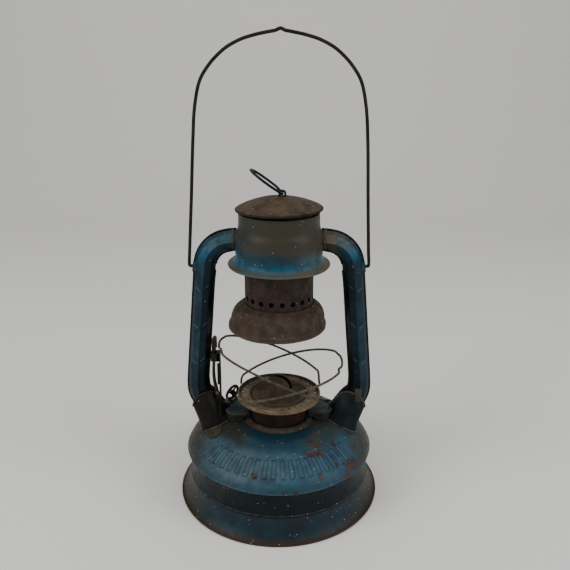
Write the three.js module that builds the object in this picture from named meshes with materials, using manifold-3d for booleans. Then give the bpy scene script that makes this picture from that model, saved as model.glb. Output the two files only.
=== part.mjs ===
// A tubular kerosene hurricane lantern without its glass globe, in millimetres.
// +Z is up, -Y is the front, and the origin is the centre of the foot on the ground.
import * as THREE from "three";
import { mergeVertices } from "three/addons/utils/BufferGeometryUtils.js";
import Module from "manifold-3d";

const wasm = await Module();
wasm.setup();

// ---------- driving dimensions ----------
const SHEET = 1; // thickness of the sheet metal
const GAP = 0.3; // clearance between neighbouring pieces
const ROUND = 32; // facets round a large turned piece
const SMALL_ROUND = 20; // facets round a small or hidden one

const FOOT = { rim: 86, rimInner: 82.5, rimHeight: 1.6, stepRadius: 77.2, stepZ: 22 };
const TANK = { creaseRadius: 79, creaseZ: 43, topRadius: 28, topZ: 67, mouth: 19.8, fullness: 1.3 };
const FUNNEL = { radius: 11, distance: 56, rise: 5.5 };
const NECK = { inner: 24.6, outer: 31.6, height: 3.2 };
const CUP = { bottom: 23.8, top: 25.6, flange: 26.6, mouth: 22.5, topZ: 87.4 };
const CONE = { flange: 23.4, baseZ: 87.7, dome: 11.4, domeZ: 95.4, apexZ: 104.7, slot: 4.6 };
const WICK = { angle: THREE.MathUtils.degToRad(157), width: 16, thickness: 1.8, topZ: 98.6, length: 50 };
const SHAFT = { z: 84.5, radius: 1.2, offset: 8.3, reach: 40.8, spurRadius: 7 };
const KNOB = { radius: 6.5, wire: 0.9, hub: 2.1 };
const DISH = { hole: 24, rim: 35.5, seatZ: 87.8, bottomZ: 87.1, rimZ: 90.5 };
const BELL = { rim: 40.3, bottomZ: 151.8, topZ: 175.4, askew: 0.07 };
const CHIMNEY = { radius: 28, bottomZ: 171, topZ: 253.5, holes: 20, holeRadius: 1.9, holeZ: 179 };
const SPRING = { radius: 30, wire: 0.7, bottomZ: 215.4, topZ: 242.6, turns: 3.5 };
const HOOD = { flange: 41.4, flangeZ: 205.2, drum: 35.2, neck: 32.6, shoulderZ: 231.5, topZ: 247.3 };
const CAP = { rim: 35.1, rimZ: 249.6, edgeZ: 251.4, apexZ: 260.7 };
const RING = { radius: 15.4, wire: 1.1, x: 2.6, z: 262.7, lean: THREE.MathUtils.degToRad(-54) };
const BAIL = { pivotX: 72.5, pivotZ: 203, endX: 69.6, wire: 1.35, lean: 0.9 };
const TUBE = { depth: 8.6, hoodX: 34, bendX: 38, bendZ: 203, innerBend: 12.2, outerBend: 31.3 };
const DUCT = { inner: 27.2, shoulder: 40, outer: 47, halfDepth: 12, narrow: 4.5, topZ: 76.3 };
const GUARD = { wire: 0.9 };
const LIFT = { y: -3.6, width: 5, thickness: 0.9 };

// ---------- materials ----------
const paint = (colour, roughness = 0.55) =>
  new THREE.MeshStandardMaterial({ color: colour, roughness, metalness: 0.35 });
const BLUE = paint(0x1f4f6e);
const DARK_BLUE = paint(0x14303f);
const SMOKED_BLUE = paint(0x3a4a48);
const RUST = paint(0x4a3a32, 0.8);
const DARK_RUST = paint(0x33271f, 0.85);
const WIRE = paint(0x4b4438, 0.6);
const BRASS = paint(0x6d5a34, 0.5);
const COTTON = new THREE.MeshStandardMaterial({ color: 0xa89a80, roughness: 0.95, metalness: 0 });

// ---------- solids ----------
// A closed geometry as a manifold solid, without the flat triangles that merging leaves.
function solidOf(geometry) {
  const bare = geometry.clone();
  for (const name of Object.keys(bare.attributes)) {
    if (name !== "position") bare.deleteAttribute(name);
  }
  const merged = mergeVertices(bare, 1e-4);
  const index = [];
  for (let i = 0; i < merged.index.count; i += 3) {
    const [a, b, c] = [0, 1, 2].map((k) => merged.index.getX(i + k));
    if (a !== b && b !== c && c !== a) index.push(a, b, c);
  }
  return new wasm.Manifold(
    new wasm.Mesh({
      numProp: 3,
      vertProperties: merged.attributes.position.array,
      triVerts: new Uint32Array(index),
    }),
  );
}

// A manifold solid as a geometry that three.js can draw.
function geometryOf(solid) {
  const mesh = solid.getMesh();
  const geometry = new THREE.BufferGeometry();
  geometry.setAttribute("position", new THREE.BufferAttribute(mesh.vertProperties, 3));
  geometry.setIndex(new THREE.BufferAttribute(mesh.triVerts, 1));
  geometry.computeVertexNormals();
  return geometry;
}

// A closed profile of [radius, z] points turned round Z.
function turned(profile, facets = ROUND) {
  const points = profile.map(([r, z]) => new THREE.Vector2(r, z));
  if (THREE.ShapeUtils.isClockWise(points)) points.reverse();
  points.push(points[0].clone());
  const geometry = new THREE.LatheGeometry(points, facets).rotateX(Math.PI / 2);
  return solidOf(geometry);
}

// A box from its lowest to its highest corner.
function block(low, high) {
  const size = high.map((v, i) => v - low[i]);
  const centre = high.map((v, i) => (v + low[i]) / 2);
  return solidOf(new THREE.BoxGeometry(...size).translate(...centre));
}

// A round bar from one point to another.
function rod(from, to, radius, facets = 12) {
  const [a, b] = [new THREE.Vector3(...from), new THREE.Vector3(...to)];
  const along = b.clone().sub(a);
  const upright = new THREE.Vector3(0, 1, 0);
  const turn = new THREE.Quaternion().setFromUnitVectors(upright, along.clone().normalize());
  const geometry = new THREE.CylinderGeometry(radius, radius, along.length(), facets);
  return solidOf(geometry.applyQuaternion(turn).translate(...a.add(b).multiplyScalar(0.5).toArray()));
}

// A wire of round section along an open curve.
function wireAlong(curve, radius, steps, facets = 8) {
  const section = new THREE.Shape().absarc(0, 0, radius, 0, Math.PI * 2);
  const options = { steps, extrudePath: curve, curveSegments: Math.ceil(facets / 2), bevelEnabled: false };
  return solidOf(new THREE.ExtrudeGeometry(section, options));
}

// A plate drawn in the XZ plane and thickened along Y from y0 to y1.
function plate(outline, y0, y1, curveSegments = 6) {
  const drawn = outline instanceof THREE.Shape;
  const shape = drawn ? outline : new THREE.Shape(outline.map(([x, z]) => new THREE.Vector2(x, z)));
  const geometry = new THREE.ExtrudeGeometry(shape, { depth: y1 - y0, bevelEnabled: false, curveSegments });
  return solidOf(geometry.rotateX(Math.PI / 2).translate(0, y1, 0));
}

// A solid skinned over closed rings of points, with a flat cap at each end.
function skinned(rings) {
  const count = rings[0].length;
  const positions = rings.flat().flatMap((p) => p.toArray());
  const index = [];
  for (let r = 0; r + 1 < rings.length; r += 1) {
    for (let i = 0; i < count; i += 1) {
      const a = r * count + i;
      const b = r * count + ((i + 1) % count);
      index.push(a, b, a + count, b, b + count, a + count);
    }
  }
  for (const [ring, first] of [[rings[0], true], [rings.at(-1), false]]) {
    const start = first ? 0 : (rings.length - 1) * count;
    const u = ring[1].clone().sub(ring[0]).normalize();
    const normal = new THREE.Vector3();
    ring.forEach((p, i) => normal.add(p.clone().cross(ring[(i + 1) % count])));
    const v = normal.normalize().clone().cross(u);
    const flat = ring.map((p) => new THREE.Vector2(p.dot(u), p.dot(v)));
    for (const face of THREE.ShapeUtils.triangulateShape(flat, [])) {
      const corners = face.map((i) => start + i);
      index.push(...(first ? corners.reverse() : corners));
    }
  }
  const geometry = new THREE.BufferGeometry();
  geometry.setAttribute("position", new THREE.BufferAttribute(new Float32Array(positions), 3));
  geometry.setIndex(index);
  const solid = solidOf(geometry);
  if (solid.volume() > 0) return solid;
  geometry.setIndex(index.toReversed());
  return solidOf(geometry);
}

const lantern = new THREE.Group();
const place = (name, solid, material, parent = lantern) => {
  const mesh = new THREE.Mesh(geometryOf(solid), material);
  mesh.name = name;
  parent.add(mesh);
  return mesh;
};
const mirrorX = (solid) => solid.mirror([1, 0, 0]);
const sides = [["left", mirrorX], ["right", (solid) => solid]];

// ---------- the tank and its foot ----------
// The top of the tank: nearly a quarter of an ellipse, from the crease to the flat round the burner.
const domeCurve = (grow, steps = 7) =>
  Array.from({ length: steps + 1 }, (_, i) => {
    const t = (i / steps) * (Math.PI / 2);
    const r = TANK.topRadius + (TANK.creaseRadius - TANK.topRadius + grow) * Math.cos(t);
    return [r, TANK.creaseZ + (TANK.topZ - TANK.creaseZ + grow) * Math.sin(t) ** TANK.fullness];
  });
const domeHeight = (radius) => {
  const across = (radius - TANK.topRadius) / (TANK.creaseRadius - TANK.topRadius);
  return TANK.creaseZ + (TANK.topZ - TANK.creaseZ) * (1 - across * across) ** (TANK.fullness / 2);
};
const tankEnvelope = turned([
  [0, 20], [TANK.creaseRadius + GAP, 20], ...domeCurve(GAP), [0, TANK.topZ + GAP],
]);

const tankOuter = [[FOOT.stepRadius, FOOT.stepZ + GAP], [76.5, 26.5], [76.3, 34], [77.2, 40]];
const tankShell = turned([
  ...tankOuter,
  ...domeCurve(0),
  [TANK.mouth, TANK.topZ],
  [TANK.mouth, TANK.topZ - SHEET],
  ...domeCurve(-SHEET, 3).reverse(),
  [FOOT.stepRadius - 2, 38],
  [FOOT.stepRadius - SHEET, FOOT.stepZ + GAP],
]);

const footCurve = (inset) =>
  new THREE.QuadraticBezierCurve(
    new THREE.Vector2(FOOT.rim - inset, FOOT.rimHeight),
    new THREE.Vector2(79.5 - inset, 8),
    new THREE.Vector2(FOOT.stepRadius - inset, FOOT.stepZ),
  ).getPoints(inset ? 2 : 4).map((p) => [p.x, p.y]);
const footSkirt = turned([
  [FOOT.rim, 0],
  ...footCurve(0),
  ...footCurve(SHEET).reverse().slice(0, -1),
  [FOOT.rimInner, FOOT.rimHeight],
  [FOOT.rimInner, 0],
]);
const panOuter = FOOT.stepRadius - SHEET - 0.8;
const tankPan = turned([
  [0, 14], [68, 14], [72, 12], [panOuter, 12], [panOuter, 21.5],
  [panOuter - SHEET, 21.5], [panOuter - SHEET, 13], [72.4, 13], [68.4, 15], [0, 15],
], SMALL_ROUND);

// The filler stands square to the tank's slope at the back.
const funnelTilt = Math.atan2(domeHeight(FUNNEL.distance - 1) - domeHeight(FUNNEL.distance + 1), 2);
const atFunnel = (solid) =>
  solid
    .rotate([-THREE.MathUtils.radToDeg(funnelTilt), 0, 0])
    .translate([0, FUNNEL.distance, domeHeight(FUNNEL.distance)]);
const funnelHole = atFunnel(rod([0, 0, -8], [0, 0, 8], FUNNEL.radius + GAP, SMALL_ROUND));
const funnelNeck = atFunnel(turned([
  [FUNNEL.radius, -5], [FUNNEL.radius, FUNNEL.rise],
  [FUNNEL.radius - 1.2, FUNNEL.rise], [FUNNEL.radius - 1.2, -5],
], SMALL_ROUND));
const capRadius = FUNNEL.radius + GAP + 1.2;
const funnelCap = atFunnel(turned([
  [0, FUNNEL.rise + 1.9], [capRadius - 1, FUNNEL.rise + 1.9],
  [capRadius, FUNNEL.rise + 0.9], [capRadius, 1.6],
  [FUNNEL.radius + GAP, 1.6], [FUNNEL.radius + GAP, FUNNEL.rise + 0.7], [0, FUNNEL.rise + 0.7],
], SMALL_ROUND));

place("tank_dome", tankShell.subtract(funnelHole), BLUE);
place("tank_foot", footSkirt, BLUE);
place("tank_pan", tankPan, DARK_BLUE);
place("filler_neck", funnelNeck, DARK_RUST);
place("filler_cap", funnelCap, RUST);

// ---------- the burner ----------
const seatZ = TANK.topZ + GAP;
place("neck_ring", turned([
  [NECK.inner, seatZ], [NECK.inner, seatZ + NECK.height - 0.6], [NECK.inner + 1, seatZ + NECK.height],
  [NECK.outer - 1.6, seatZ + NECK.height], [NECK.outer - 0.3, seatZ + NECK.height - 1], [NECK.outer, seatZ],
], SMALL_ROUND), SMOKED_BLUE);

// Directions along the wick's width and square to its face.
const along = [Math.cos(WICK.angle), Math.sin(WICK.angle)];
const square = [-Math.sin(WICK.angle), Math.cos(WICK.angle)];
const atWick = (a, n, z) => [along[0] * a + square[0] * n, along[1] * a + square[1] * n, z];
const wickBlock = (width, thickness, low, high, shift = 0) =>
  block([-width / 2, -thickness / 2 + shift, low], [width / 2, thickness / 2 + shift, high])
    .rotate([0, 0, THREE.MathUtils.radToDeg(WICK.angle)]);
const tubeWall = { width: WICK.width + 2, thickness: WICK.thickness + 2.8 };
const cupFloorZ = seatZ + 1;
const shaftAt = (a) => atWick(a, SHAFT.offset, SHAFT.z);
const cup = turned([
  [0, seatZ], [CUP.bottom, seatZ], [CUP.bottom, 71], [CUP.top, 85], [CUP.flange, 86], [CUP.flange, CUP.topZ],
  [CUP.mouth, CUP.topZ], [CUP.mouth, CUP.topZ - SHEET], [CUP.top - SHEET, 85], [CUP.bottom - SHEET, 71],
  [CUP.bottom - SHEET, cupFloorZ], [0, cupFloorZ],
], SMALL_ROUND);
place("burner_cup", cup
  .subtract(wickBlock(tubeWall.width + 2 * GAP, tubeWall.thickness + 2 * GAP, 60, 80))
  .subtract(rod(shaftAt(0), shaftAt(SHAFT.reach), SHAFT.radius + 0.35)), DARK_RUST);

// A low flange that rises to a narrow dome, cut through by the flame slot.
const coneDome = (grow, steps) =>
  Array.from({ length: steps + 1 }, (_, i) => {
    const t = (i / steps) * (Math.PI / 2);
    const rise = CONE.apexZ - CONE.domeZ + grow;
    return [(CONE.dome + grow) * Math.cos(t), CONE.domeZ + rise * Math.sin(t)];
  });
const cone = turned([
  [CONE.flange, CONE.baseZ], [CONE.flange, CONE.baseZ + SHEET], [16.5, 90.2], [12.8, 92.2], ...coneDome(0, 5),
  ...coneDome(-SHEET, 4).reverse(), [11.9, 91.6], [16.2, 89.2], [CONE.flange - SHEET, CONE.baseZ],
], SMALL_ROUND);
place("burner_cone", cone.subtract(wickBlock(2 * CONE.flange, CONE.slot, CONE.domeZ - 1, 110)), RUST);
place("wick_tube", wickBlock(tubeWall.width, tubeWall.thickness, seatZ - 0.4, 97)
  .subtract(wickBlock(WICK.width + 0.8, WICK.thickness + 0.8, 60, 100))
  .subtract(wickBlock(13, 3.4, 76, 93, 2.6)), BRASS);
place("wick", wickBlock(WICK.width, WICK.thickness, WICK.topZ - WICK.length, WICK.topZ), COTTON);

// The spur wheels bite the wick's face, and the knob's wheel is bent over on the end of their shaft.
const spur = (a) => {
  const outline = new THREE.Shape();
  const teeth = 12;
  for (let i = 0; i < teeth * 2; i += 1) {
    const angle = (i / (teeth * 2)) * Math.PI * 2;
    const r = SHAFT.spurRadius * (i % 2 ? 0.8 : 1);
    outline[i ? "lineTo" : "moveTo"](r * Math.cos(angle), r * Math.sin(angle));
  }
  return plate(outline, a - 0.6, a + 0.6);
};
const knobPlane = new THREE.Vector3(-0.72, 0.66, 0.23).normalize();
const knobTurn = new THREE.Quaternion().setFromUnitVectors(new THREE.Vector3(0, 0, 1), knobPlane);
const knobCentre = shaftAt(SHAFT.reach);
const shaftTurn = THREE.MathUtils.radToDeg(WICK.angle) - 90;
const atShaft = (solid) => solid.rotate([0, 0, shaftTurn]).translate(...[atWick(0, SHAFT.offset, SHAFT.z)]);
const spurs = atShaft(spur(-4)).add(atShaft(spur(4)));
place("wick_shaft", rod(shaftAt(-9), shaftAt(SHAFT.reach - 2.6), SHAFT.radius).add(spurs), BRASS);
const knobTorus = new THREE.TorusGeometry(KNOB.radius, KNOB.wire, 6, 20).applyQuaternion(knobTurn);
let knob = solidOf(knobTorus.translate(...knobCentre)).add(
  rod(shaftAt(SHAFT.reach - 2.3), shaftAt(SHAFT.reach + 1.6), KNOB.hub));
for (const angle of [0, 120, 240]) {
  const spoke = new THREE.Vector3(KNOB.radius, 0, 0)
    .applyAxisAngle(new THREE.Vector3(0, 0, 1), THREE.MathUtils.degToRad(angle))
    .applyQuaternion(knobTurn)
    .add(new THREE.Vector3(...knobCentre));
  knob = knob.add(rod(knobCentre, spoke.toArray(), 0.7, 6));
}
place("wick_knob", knob, DARK_RUST);

// ---------- side tubes ----------
// Matching points on a tube's inner and outer edge, from the hood round the bend and down to the tank.
const edgeStations = [];
edgeStations.push([
  [TUBE.hoodX, TUBE.bendZ + TUBE.innerBend + 1],
  [TUBE.hoodX, TUBE.bendZ + TUBE.outerBend + 0.6],
]);
for (let degrees = 84; degrees >= 0; degrees -= 14) {
  const angle = THREE.MathUtils.degToRad(degrees);
  edgeStations.push([TUBE.innerBend, TUBE.outerBend].map((r) => [
    TUBE.bendX + r * Math.cos(angle),
    TUBE.bendZ + r * Math.sin(angle),
  ]));
}
for (const t of [0.1, 0.55, 1]) {
  edgeStations.push([
    [THREE.MathUtils.lerp(50.9, 58.7, t), THREE.MathUtils.lerp(202, 110, t)],
    [THREE.MathUtils.lerp(69.4, 77.4, t), THREE.MathUtils.lerp(202, 110, t)],
  ]);
}
edgeStations.push(
  [[59, 103], [78.1, 100.5]],
  [[58.4, 96.5], [78, 93]],
  [[55.9, 90], [76.6, 86.5]],
  [[51.8, 84], [74, 80.5]],
  [[48.6, 79], [71.4, 75]],
);

// Half of a tube's section: [across, out], from the inner edge over the ridge to the outer edge.
const halfSection = [[-1, 0.1], [-0.86, 0.13], [-0.58, 0.68], [0, 1], [0.58, 0.68], [0.86, 0.13], [1, 0.1]];
const ringAt = ([inner, outer], section, depth, grow) => {
  const a = new THREE.Vector3(inner[0], 0, inner[1]);
  const b = new THREE.Vector3(outer[0], 0, outer[1]);
  const half = b.clone().sub(a).multiplyScalar(0.5);
  const centre = a.add(half);
  const stretch = 1 + grow / half.length();
  return section.map(([s, d]) => centre.clone().addScaledVector(half, s * stretch)
    .add(new THREE.Vector3(0, -d * (depth + grow), 0)));
};
const fullSection = [...halfSection, ...halfSection.map(([s, d]) => [s, -d]).reverse()];
const tubeEnvelope = (grow) =>
  skinned(edgeStations.map((edges) => ringAt(edges, fullSection, TUBE.depth, grow)));
const innerSection = [[0.8, 0], [0.5, 0.58], [0, 0.87], [-0.5, 0.58], [-0.8, 0]];
const seam = GAP / 2 / TUBE.depth;
const hollow = innerSection.map(([s, d]) => [s, Math.max(d, seam)]);
const frontSection = [[-1, seam], ...halfSection, [1, seam], ...hollow];
const tubeFront = skinned(edgeStations.map((edges) => ringAt(edges, frontSection, TUBE.depth, 0)));
const tubeEnd = turned([[0, 190], [HOOD.drum + GAP, 190], [HOOD.drum + GAP, 260], [0, 260]]);

// The shoe spreads over the tube's lower end and stands on the tank, pointed towards the burner.
const shoeLevels = [
  { z: 95, inner: 56.4, outer: 78.8, depth: 10.4 },
  { z: 87, inner: 53, outer: 76.6, depth: 10.8 },
  { z: 80, inner: 48.8, outer: 74, depth: 11.6 },
  { z: 73, inner: 44, outer: 71.4, depth: 12.6 },
  { z: 66, inner: 39.6, outer: 69, depth: 13.4 },
  { z: 50, inner: 37, outer: 66, depth: 14 },
];
const shoeSection = [[-1, 0.06], [-0.4, 0.72], [0.2, 1], [0.84, 0.9], [1, 0.1]];
const shoeFull = [...shoeSection, ...shoeSection.map(([s, d]) => [s, -d]).reverse()];
const shoeBody = (grow) => skinned(shoeLevels.map(({ z, inner, outer, depth }) =>
  ringAt([[inner, z], [outer, z]], shoeFull, depth, grow)));
const archShape = new THREE.Shape([[36, 40], [36, 74], [46, 75.5]].map(([x, z]) => new THREE.Vector2(x, z)));
archShape.quadraticCurveTo(51, 80, 54, 87);
archShape.quadraticCurveTo(57, 93, 63, 93.2);
archShape.quadraticCurveTo(69, 92.6, 71.6, 86);
archShape.lineTo(73.6, 79);
archShape.lineTo(82, 76);
archShape.lineTo(82, 40);
const shoe = shoeBody(0)
  .intersect(plate(archShape, -20, 20))
  .subtract(tubeEnvelope(GAP))
  .subtract(tubeEnvelope(GAP).translate([0, 0, -GAP]))
  .subtract(shoeBody(-1.2).intersect(block([30, -20, 40], [90, 20, 80])))
  .subtract(tankEnvelope);

// A duct seen from above: straight sides from the burner to its shoulder, then narrowing into the shoe.
const ductPrism = (inner, outer, inset, low, high) => {
  const half = DUCT.halfDepth - inset;
  const slant = (DUCT.halfDepth - DUCT.narrow) / (DUCT.outer - DUCT.shoulder);
  const end = DUCT.narrow - inset * Math.hypot(1, slant) - slant * (outer - DUCT.outer);
  const shoulder = outer - (half - end) / slant;
  const nearSide = [[inner, -half], [shoulder, -half], [outer, -end]];
  const farSide = nearSide.map(([x, y]) => [x, -y]).reverse();
  const outline = new THREE.Shape([...nearSide, ...farSide].map(([x, y]) => new THREE.Vector2(x, y)));
  const geometry = new THREE.ExtrudeGeometry(outline, { depth: high - low, bevelEnabled: false });
  return solidOf(geometry.translate(0, 0, low));
};
const duct = ductPrism(DUCT.inner, DUCT.outer, 0, 60, DUCT.topZ)
  .subtract(ductPrism(DUCT.inner - 9, DUCT.outer + 1, SHEET, 50, DUCT.topZ - SHEET))
  .subtract(tankEnvelope)
  .subtract(turned([
    [0, 60], [NECK.outer + GAP, 60], [NECK.outer + GAP, 71], [CUP.top + 0.8, 71.1],
    [CUP.top + 0.8, 80], [0, 80],
  ]))
  .subtract(shoeBody(GAP));

for (const [side, put] of sides) {
  place("tube_" + side + "_front", put(tubeFront.subtract(tubeEnd)), BLUE);
  place("tube_" + side + "_rear", put(tubeFront.subtract(tubeEnd).mirror([0, 1, 0])), BLUE);
  place("tube_shoe_" + side, put(shoe), DARK_BLUE);
  place("air_duct_" + side, put(duct), SMOKED_BLUE);
}

// Collars where the tubes meet the hood, and the ears that carry the bail.
const collar = tubeEnvelope(GAP + SHEET)
  .intersect(block([36.2, -20, 200], [37.8, 20, 250]))
  .subtract(tubeEnvelope(GAP));
const earOuter = BAIL.endX + 0.1;
const ear = block([63.5, -5.4, BAIL.pivotZ - 4.6], [earOuter + 1.1, 5.4, BAIL.pivotZ + 4.6])
  .subtract(block([60, -4.2, BAIL.pivotZ - 9], [earOuter, 4.2, BAIL.pivotZ + 9]))
  .subtract(rod([60, 0, BAIL.pivotZ], [80, 0, BAIL.pivotZ], BAIL.wire + 0.35, 16))
  .subtract(tubeEnvelope(GAP));
for (const [side, put] of sides) {
  place("tube_collar_" + side, put(collar), SMOKED_BLUE);
  place("bail_ear_" + side, put(ear), DARK_BLUE);
}

// ---------- the bail ----------
// One half of the bail above its hook, up to the pointed thumb bend, and the slight lean of the whole.
const bailHalf = [
  [72, 214], [69.5, 257], [66.9, 304], [64.5, 330], [60.1, 348.3], [53.4, 359], [47.6, 365.4],
  [40, 371.8], [29.3, 377.4], [18.3, 380.8], [8.1, 382.9], [3.4, 383.8],
];
const bailHook = [
  [BAIL.endX, BAIL.pivotZ], [BAIL.pivotX - 1.1, BAIL.pivotZ], [BAIL.pivotX - 0.3, BAIL.pivotZ + 0.4],
  [BAIL.pivotX, BAIL.pivotZ + 1.4], [72.35, 210], [72, 214], [71.75, 217],
];
const bailPoint = (x, z) =>
  new THREE.Vector3(x + BAIL.lean * THREE.MathUtils.clamp((z - 214) / 90, 0, 1), 0, z);
const bailPoints = [
  ...bailHalf.map(([x, z]) => bailPoint(-x, z)),
  bailPoint(0, 385.2),
  ...bailHalf.map(([x, z]) => bailPoint(x, z)).reverse(),
];
let bail = wireAlong(new THREE.CatmullRomCurve3(bailPoints, false, "centripetal"), BAIL.wire, 42, 6);
for (const side of [-1, 1]) {
  const hook = bailHook.map(([x, z]) => bailPoint(side * x, z));
  bail = bail.add(wireAlong(new THREE.CatmullRomCurve3(hook, false, "centripetal"), BAIL.wire, 10, 6));
}
place("bail", bail, WIRE);

// ---------- the hood ----------
const hoodOuter = [
  [HOOD.flange, HOOD.flangeZ], [HOOD.flange - 0.2, 206.2], [38.4, 207.3], [36.2, 209], [34.9, 211.4],
  [HOOD.drum, 213.5], [HOOD.drum, HOOD.shoulderZ],
  [33.9, 233.8], [HOOD.neck + 0.1, 236.4], [HOOD.neck, HOOD.topZ],
];
const hoodInside = [0, 3, 5, 6, 8, 9].map((i) => [hoodOuter[i][0] - SHEET, hoodOuter[i][1]]);
const hood = turned([...hoodOuter, ...hoodInside.reverse()]);
const airPort = rod([-50, 0, 225.6], [50, 0, 225.6], 6.4, 12);
place("hood", hood.subtract(airPort), SMOKED_BLUE);
const hoodInner = HOOD.neck - SHEET - GAP;
const seat = { low: SPRING.topZ + 0.3, high: SPRING.topZ + 1.3 };
place("hood_spring_seat", turned([
  [CHIMNEY.radius + 0.6, seat.low], [hoodInner, seat.low], [hoodInner, seat.high + 2],
  [hoodInner - 1, seat.high + 2], [hoodInner - 1, seat.high], [CHIMNEY.radius + 0.6, seat.high],
], SMALL_ROUND), DARK_RUST);

// ---------- the chimney, which rises through the hood ----------
let chimney = turned([
  [CHIMNEY.radius, CHIMNEY.bottomZ], [CHIMNEY.radius, CHIMNEY.topZ],
  [CHIMNEY.radius - SHEET, CHIMNEY.topZ], [CHIMNEY.radius - SHEET, CHIMNEY.bottomZ],
]);
for (let i = 0; i < CHIMNEY.holes / 2; i += 1) {
  const angle = ((i + 1 / 3) / CHIMNEY.holes) * Math.PI * 2;
  const end = [40 * Math.cos(angle), 40 * Math.sin(angle), CHIMNEY.holeZ];
  chimney = chimney.subtract(rod([-end[0], -end[1], end[2]], end, CHIMNEY.holeRadius, 5));
}
for (const low of [[-8, -40], [-40, -8]]) {
  const high = low.map((v) => -v);
  chimney = chimney.subtract(block([...low, CHIMNEY.topZ - 5], [...high, CHIMNEY.topZ - 1.5]));
}
place("chimney_tube", chimney, DARK_RUST);
const bell = turned([
  [BELL.rim, BELL.bottomZ], [BELL.rim, 154.8], [BELL.rim - 1.5, 156.4], [BELL.rim - 1.8, 162], [37.2, 167.4],
  [34.2, 171.4], [30.8, 173.6], [CHIMNEY.radius + GAP + SHEET, BELL.topZ], [CHIMNEY.radius + GAP, BELL.topZ],
  [CHIMNEY.radius + GAP, 173.4], [33.4, 170.6], [BELL.rim - 2.9, 162], [BELL.rim - 2.6, 156.2],
  [BELL.rim - SHEET, 154.4], [BELL.rim - SHEET, BELL.bottomZ],
]);
// The bell hangs a little askew, further to the left the lower it goes.
const bellShear = [1, 0, 0, 0, 0, 1, 0, 0, BELL.askew, 0, 1, 0, -BELL.askew * (BELL.topZ - 2), 0, 0];
place("chimney_bell", bell.transform([...bellShear, 1]), RUST);
place("spring_collar", turned([
  [CHIMNEY.radius + GAP, SPRING.bottomZ - 2], [hoodInner - 0.4, SPRING.bottomZ - 2],
  [hoodInner - 0.4, SPRING.bottomZ - 0.4], [CHIMNEY.radius + GAP, SPRING.bottomZ - 0.4],
]), DARK_RUST);

// The return spring, squeezed between the collar on the chimney and the seat in the hood.
class Helix extends THREE.Curve {
  getPoint(t, target = new THREE.Vector3()) {
    const angle = t * SPRING.turns * Math.PI * 2;
    const low = SPRING.bottomZ + SPRING.wire;
    const high = SPRING.topZ - SPRING.wire;
    const [x, y] = [SPRING.radius * Math.cos(angle), SPRING.radius * Math.sin(angle)];
    return target.set(x, y, THREE.MathUtils.lerp(low, high, t));
  }
}
place("chimney_spring", wireAlong(new Helix(), SPRING.wire, Math.round(SPRING.turns * 14), 4), WIRE);

const capRise = CAP.apexZ - CAP.edgeZ;
const capSphere = (CAP.rim * CAP.rim + capRise * capRise) / (2 * capRise);
const capHeight = (r) => CAP.apexZ - capSphere + Math.sqrt(capSphere * capSphere - r * r);
const capRadii = [35.1, 28, 20, 12, 5, 0];
place("chimney_cap", turned([
  ...capRadii.toReversed().map((r) => [r, capHeight(r)]), [CAP.rim, CAP.rimZ], [CAP.rim - SHEET, CAP.rimZ],
  ...[28, 14, 0].map((r) => [r, capHeight(r) - SHEET]),
]), RUST);

// The staple on the crown and the pull ring in it.
const stapleFoot = capHeight(RING.x + 5) + GAP + 0.1;
const staple = new THREE.Shape();
staple.moveTo(RING.x - 3.2, stapleFoot);
staple.lineTo(RING.x - 3.2, RING.z);
staple.absarc(RING.x, RING.z, 3.2, Math.PI, 0, true);
staple.lineTo(RING.x + 3.2, stapleFoot);
staple.lineTo(RING.x + 1.9, stapleFoot);
staple.lineTo(RING.x + 1.9, RING.z);
staple.absarc(RING.x, RING.z, 1.9, 0, Math.PI, false);
staple.lineTo(RING.x - 1.9, stapleFoot);
const capEnvelope = turned([
  ...capRadii.toReversed().map((r) => [r, capHeight(r) + GAP]), [CAP.rim, 240], [0, 240],
]);
place("ring_staple", plate(staple, -1.6, 1.6, 4).subtract(capEnvelope), DARK_RUST);
const ring = new THREE.TorusGeometry(RING.radius, RING.wire, 6, 28)
  .rotateY(Math.PI / 2)
  .translate(0, 0, RING.radius)
  .rotateY(RING.lean)
  .translate(RING.x, 0, RING.z);
place("lift_ring", solidOf(ring), WIRE);

// ---------- the globe plate, its guard wires and the lift beside the left tube ----------
place("globe_plate", turned([
  [DISH.hole, DISH.seatZ], [DISH.hole, DISH.seatZ + 0.8], [33.4, 88.5], [34.4, DISH.rimZ],
  [DISH.rim - 0.3, DISH.rimZ - 0.1], [DISH.rim, 89.7], [DISH.rim, DISH.bottomZ], [34.6, DISH.bottomZ],
  [34.6, 89.3], [34.1, 88.6], [33.6, 87.7], [27.2, DISH.seatZ],
]), RUST);
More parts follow.
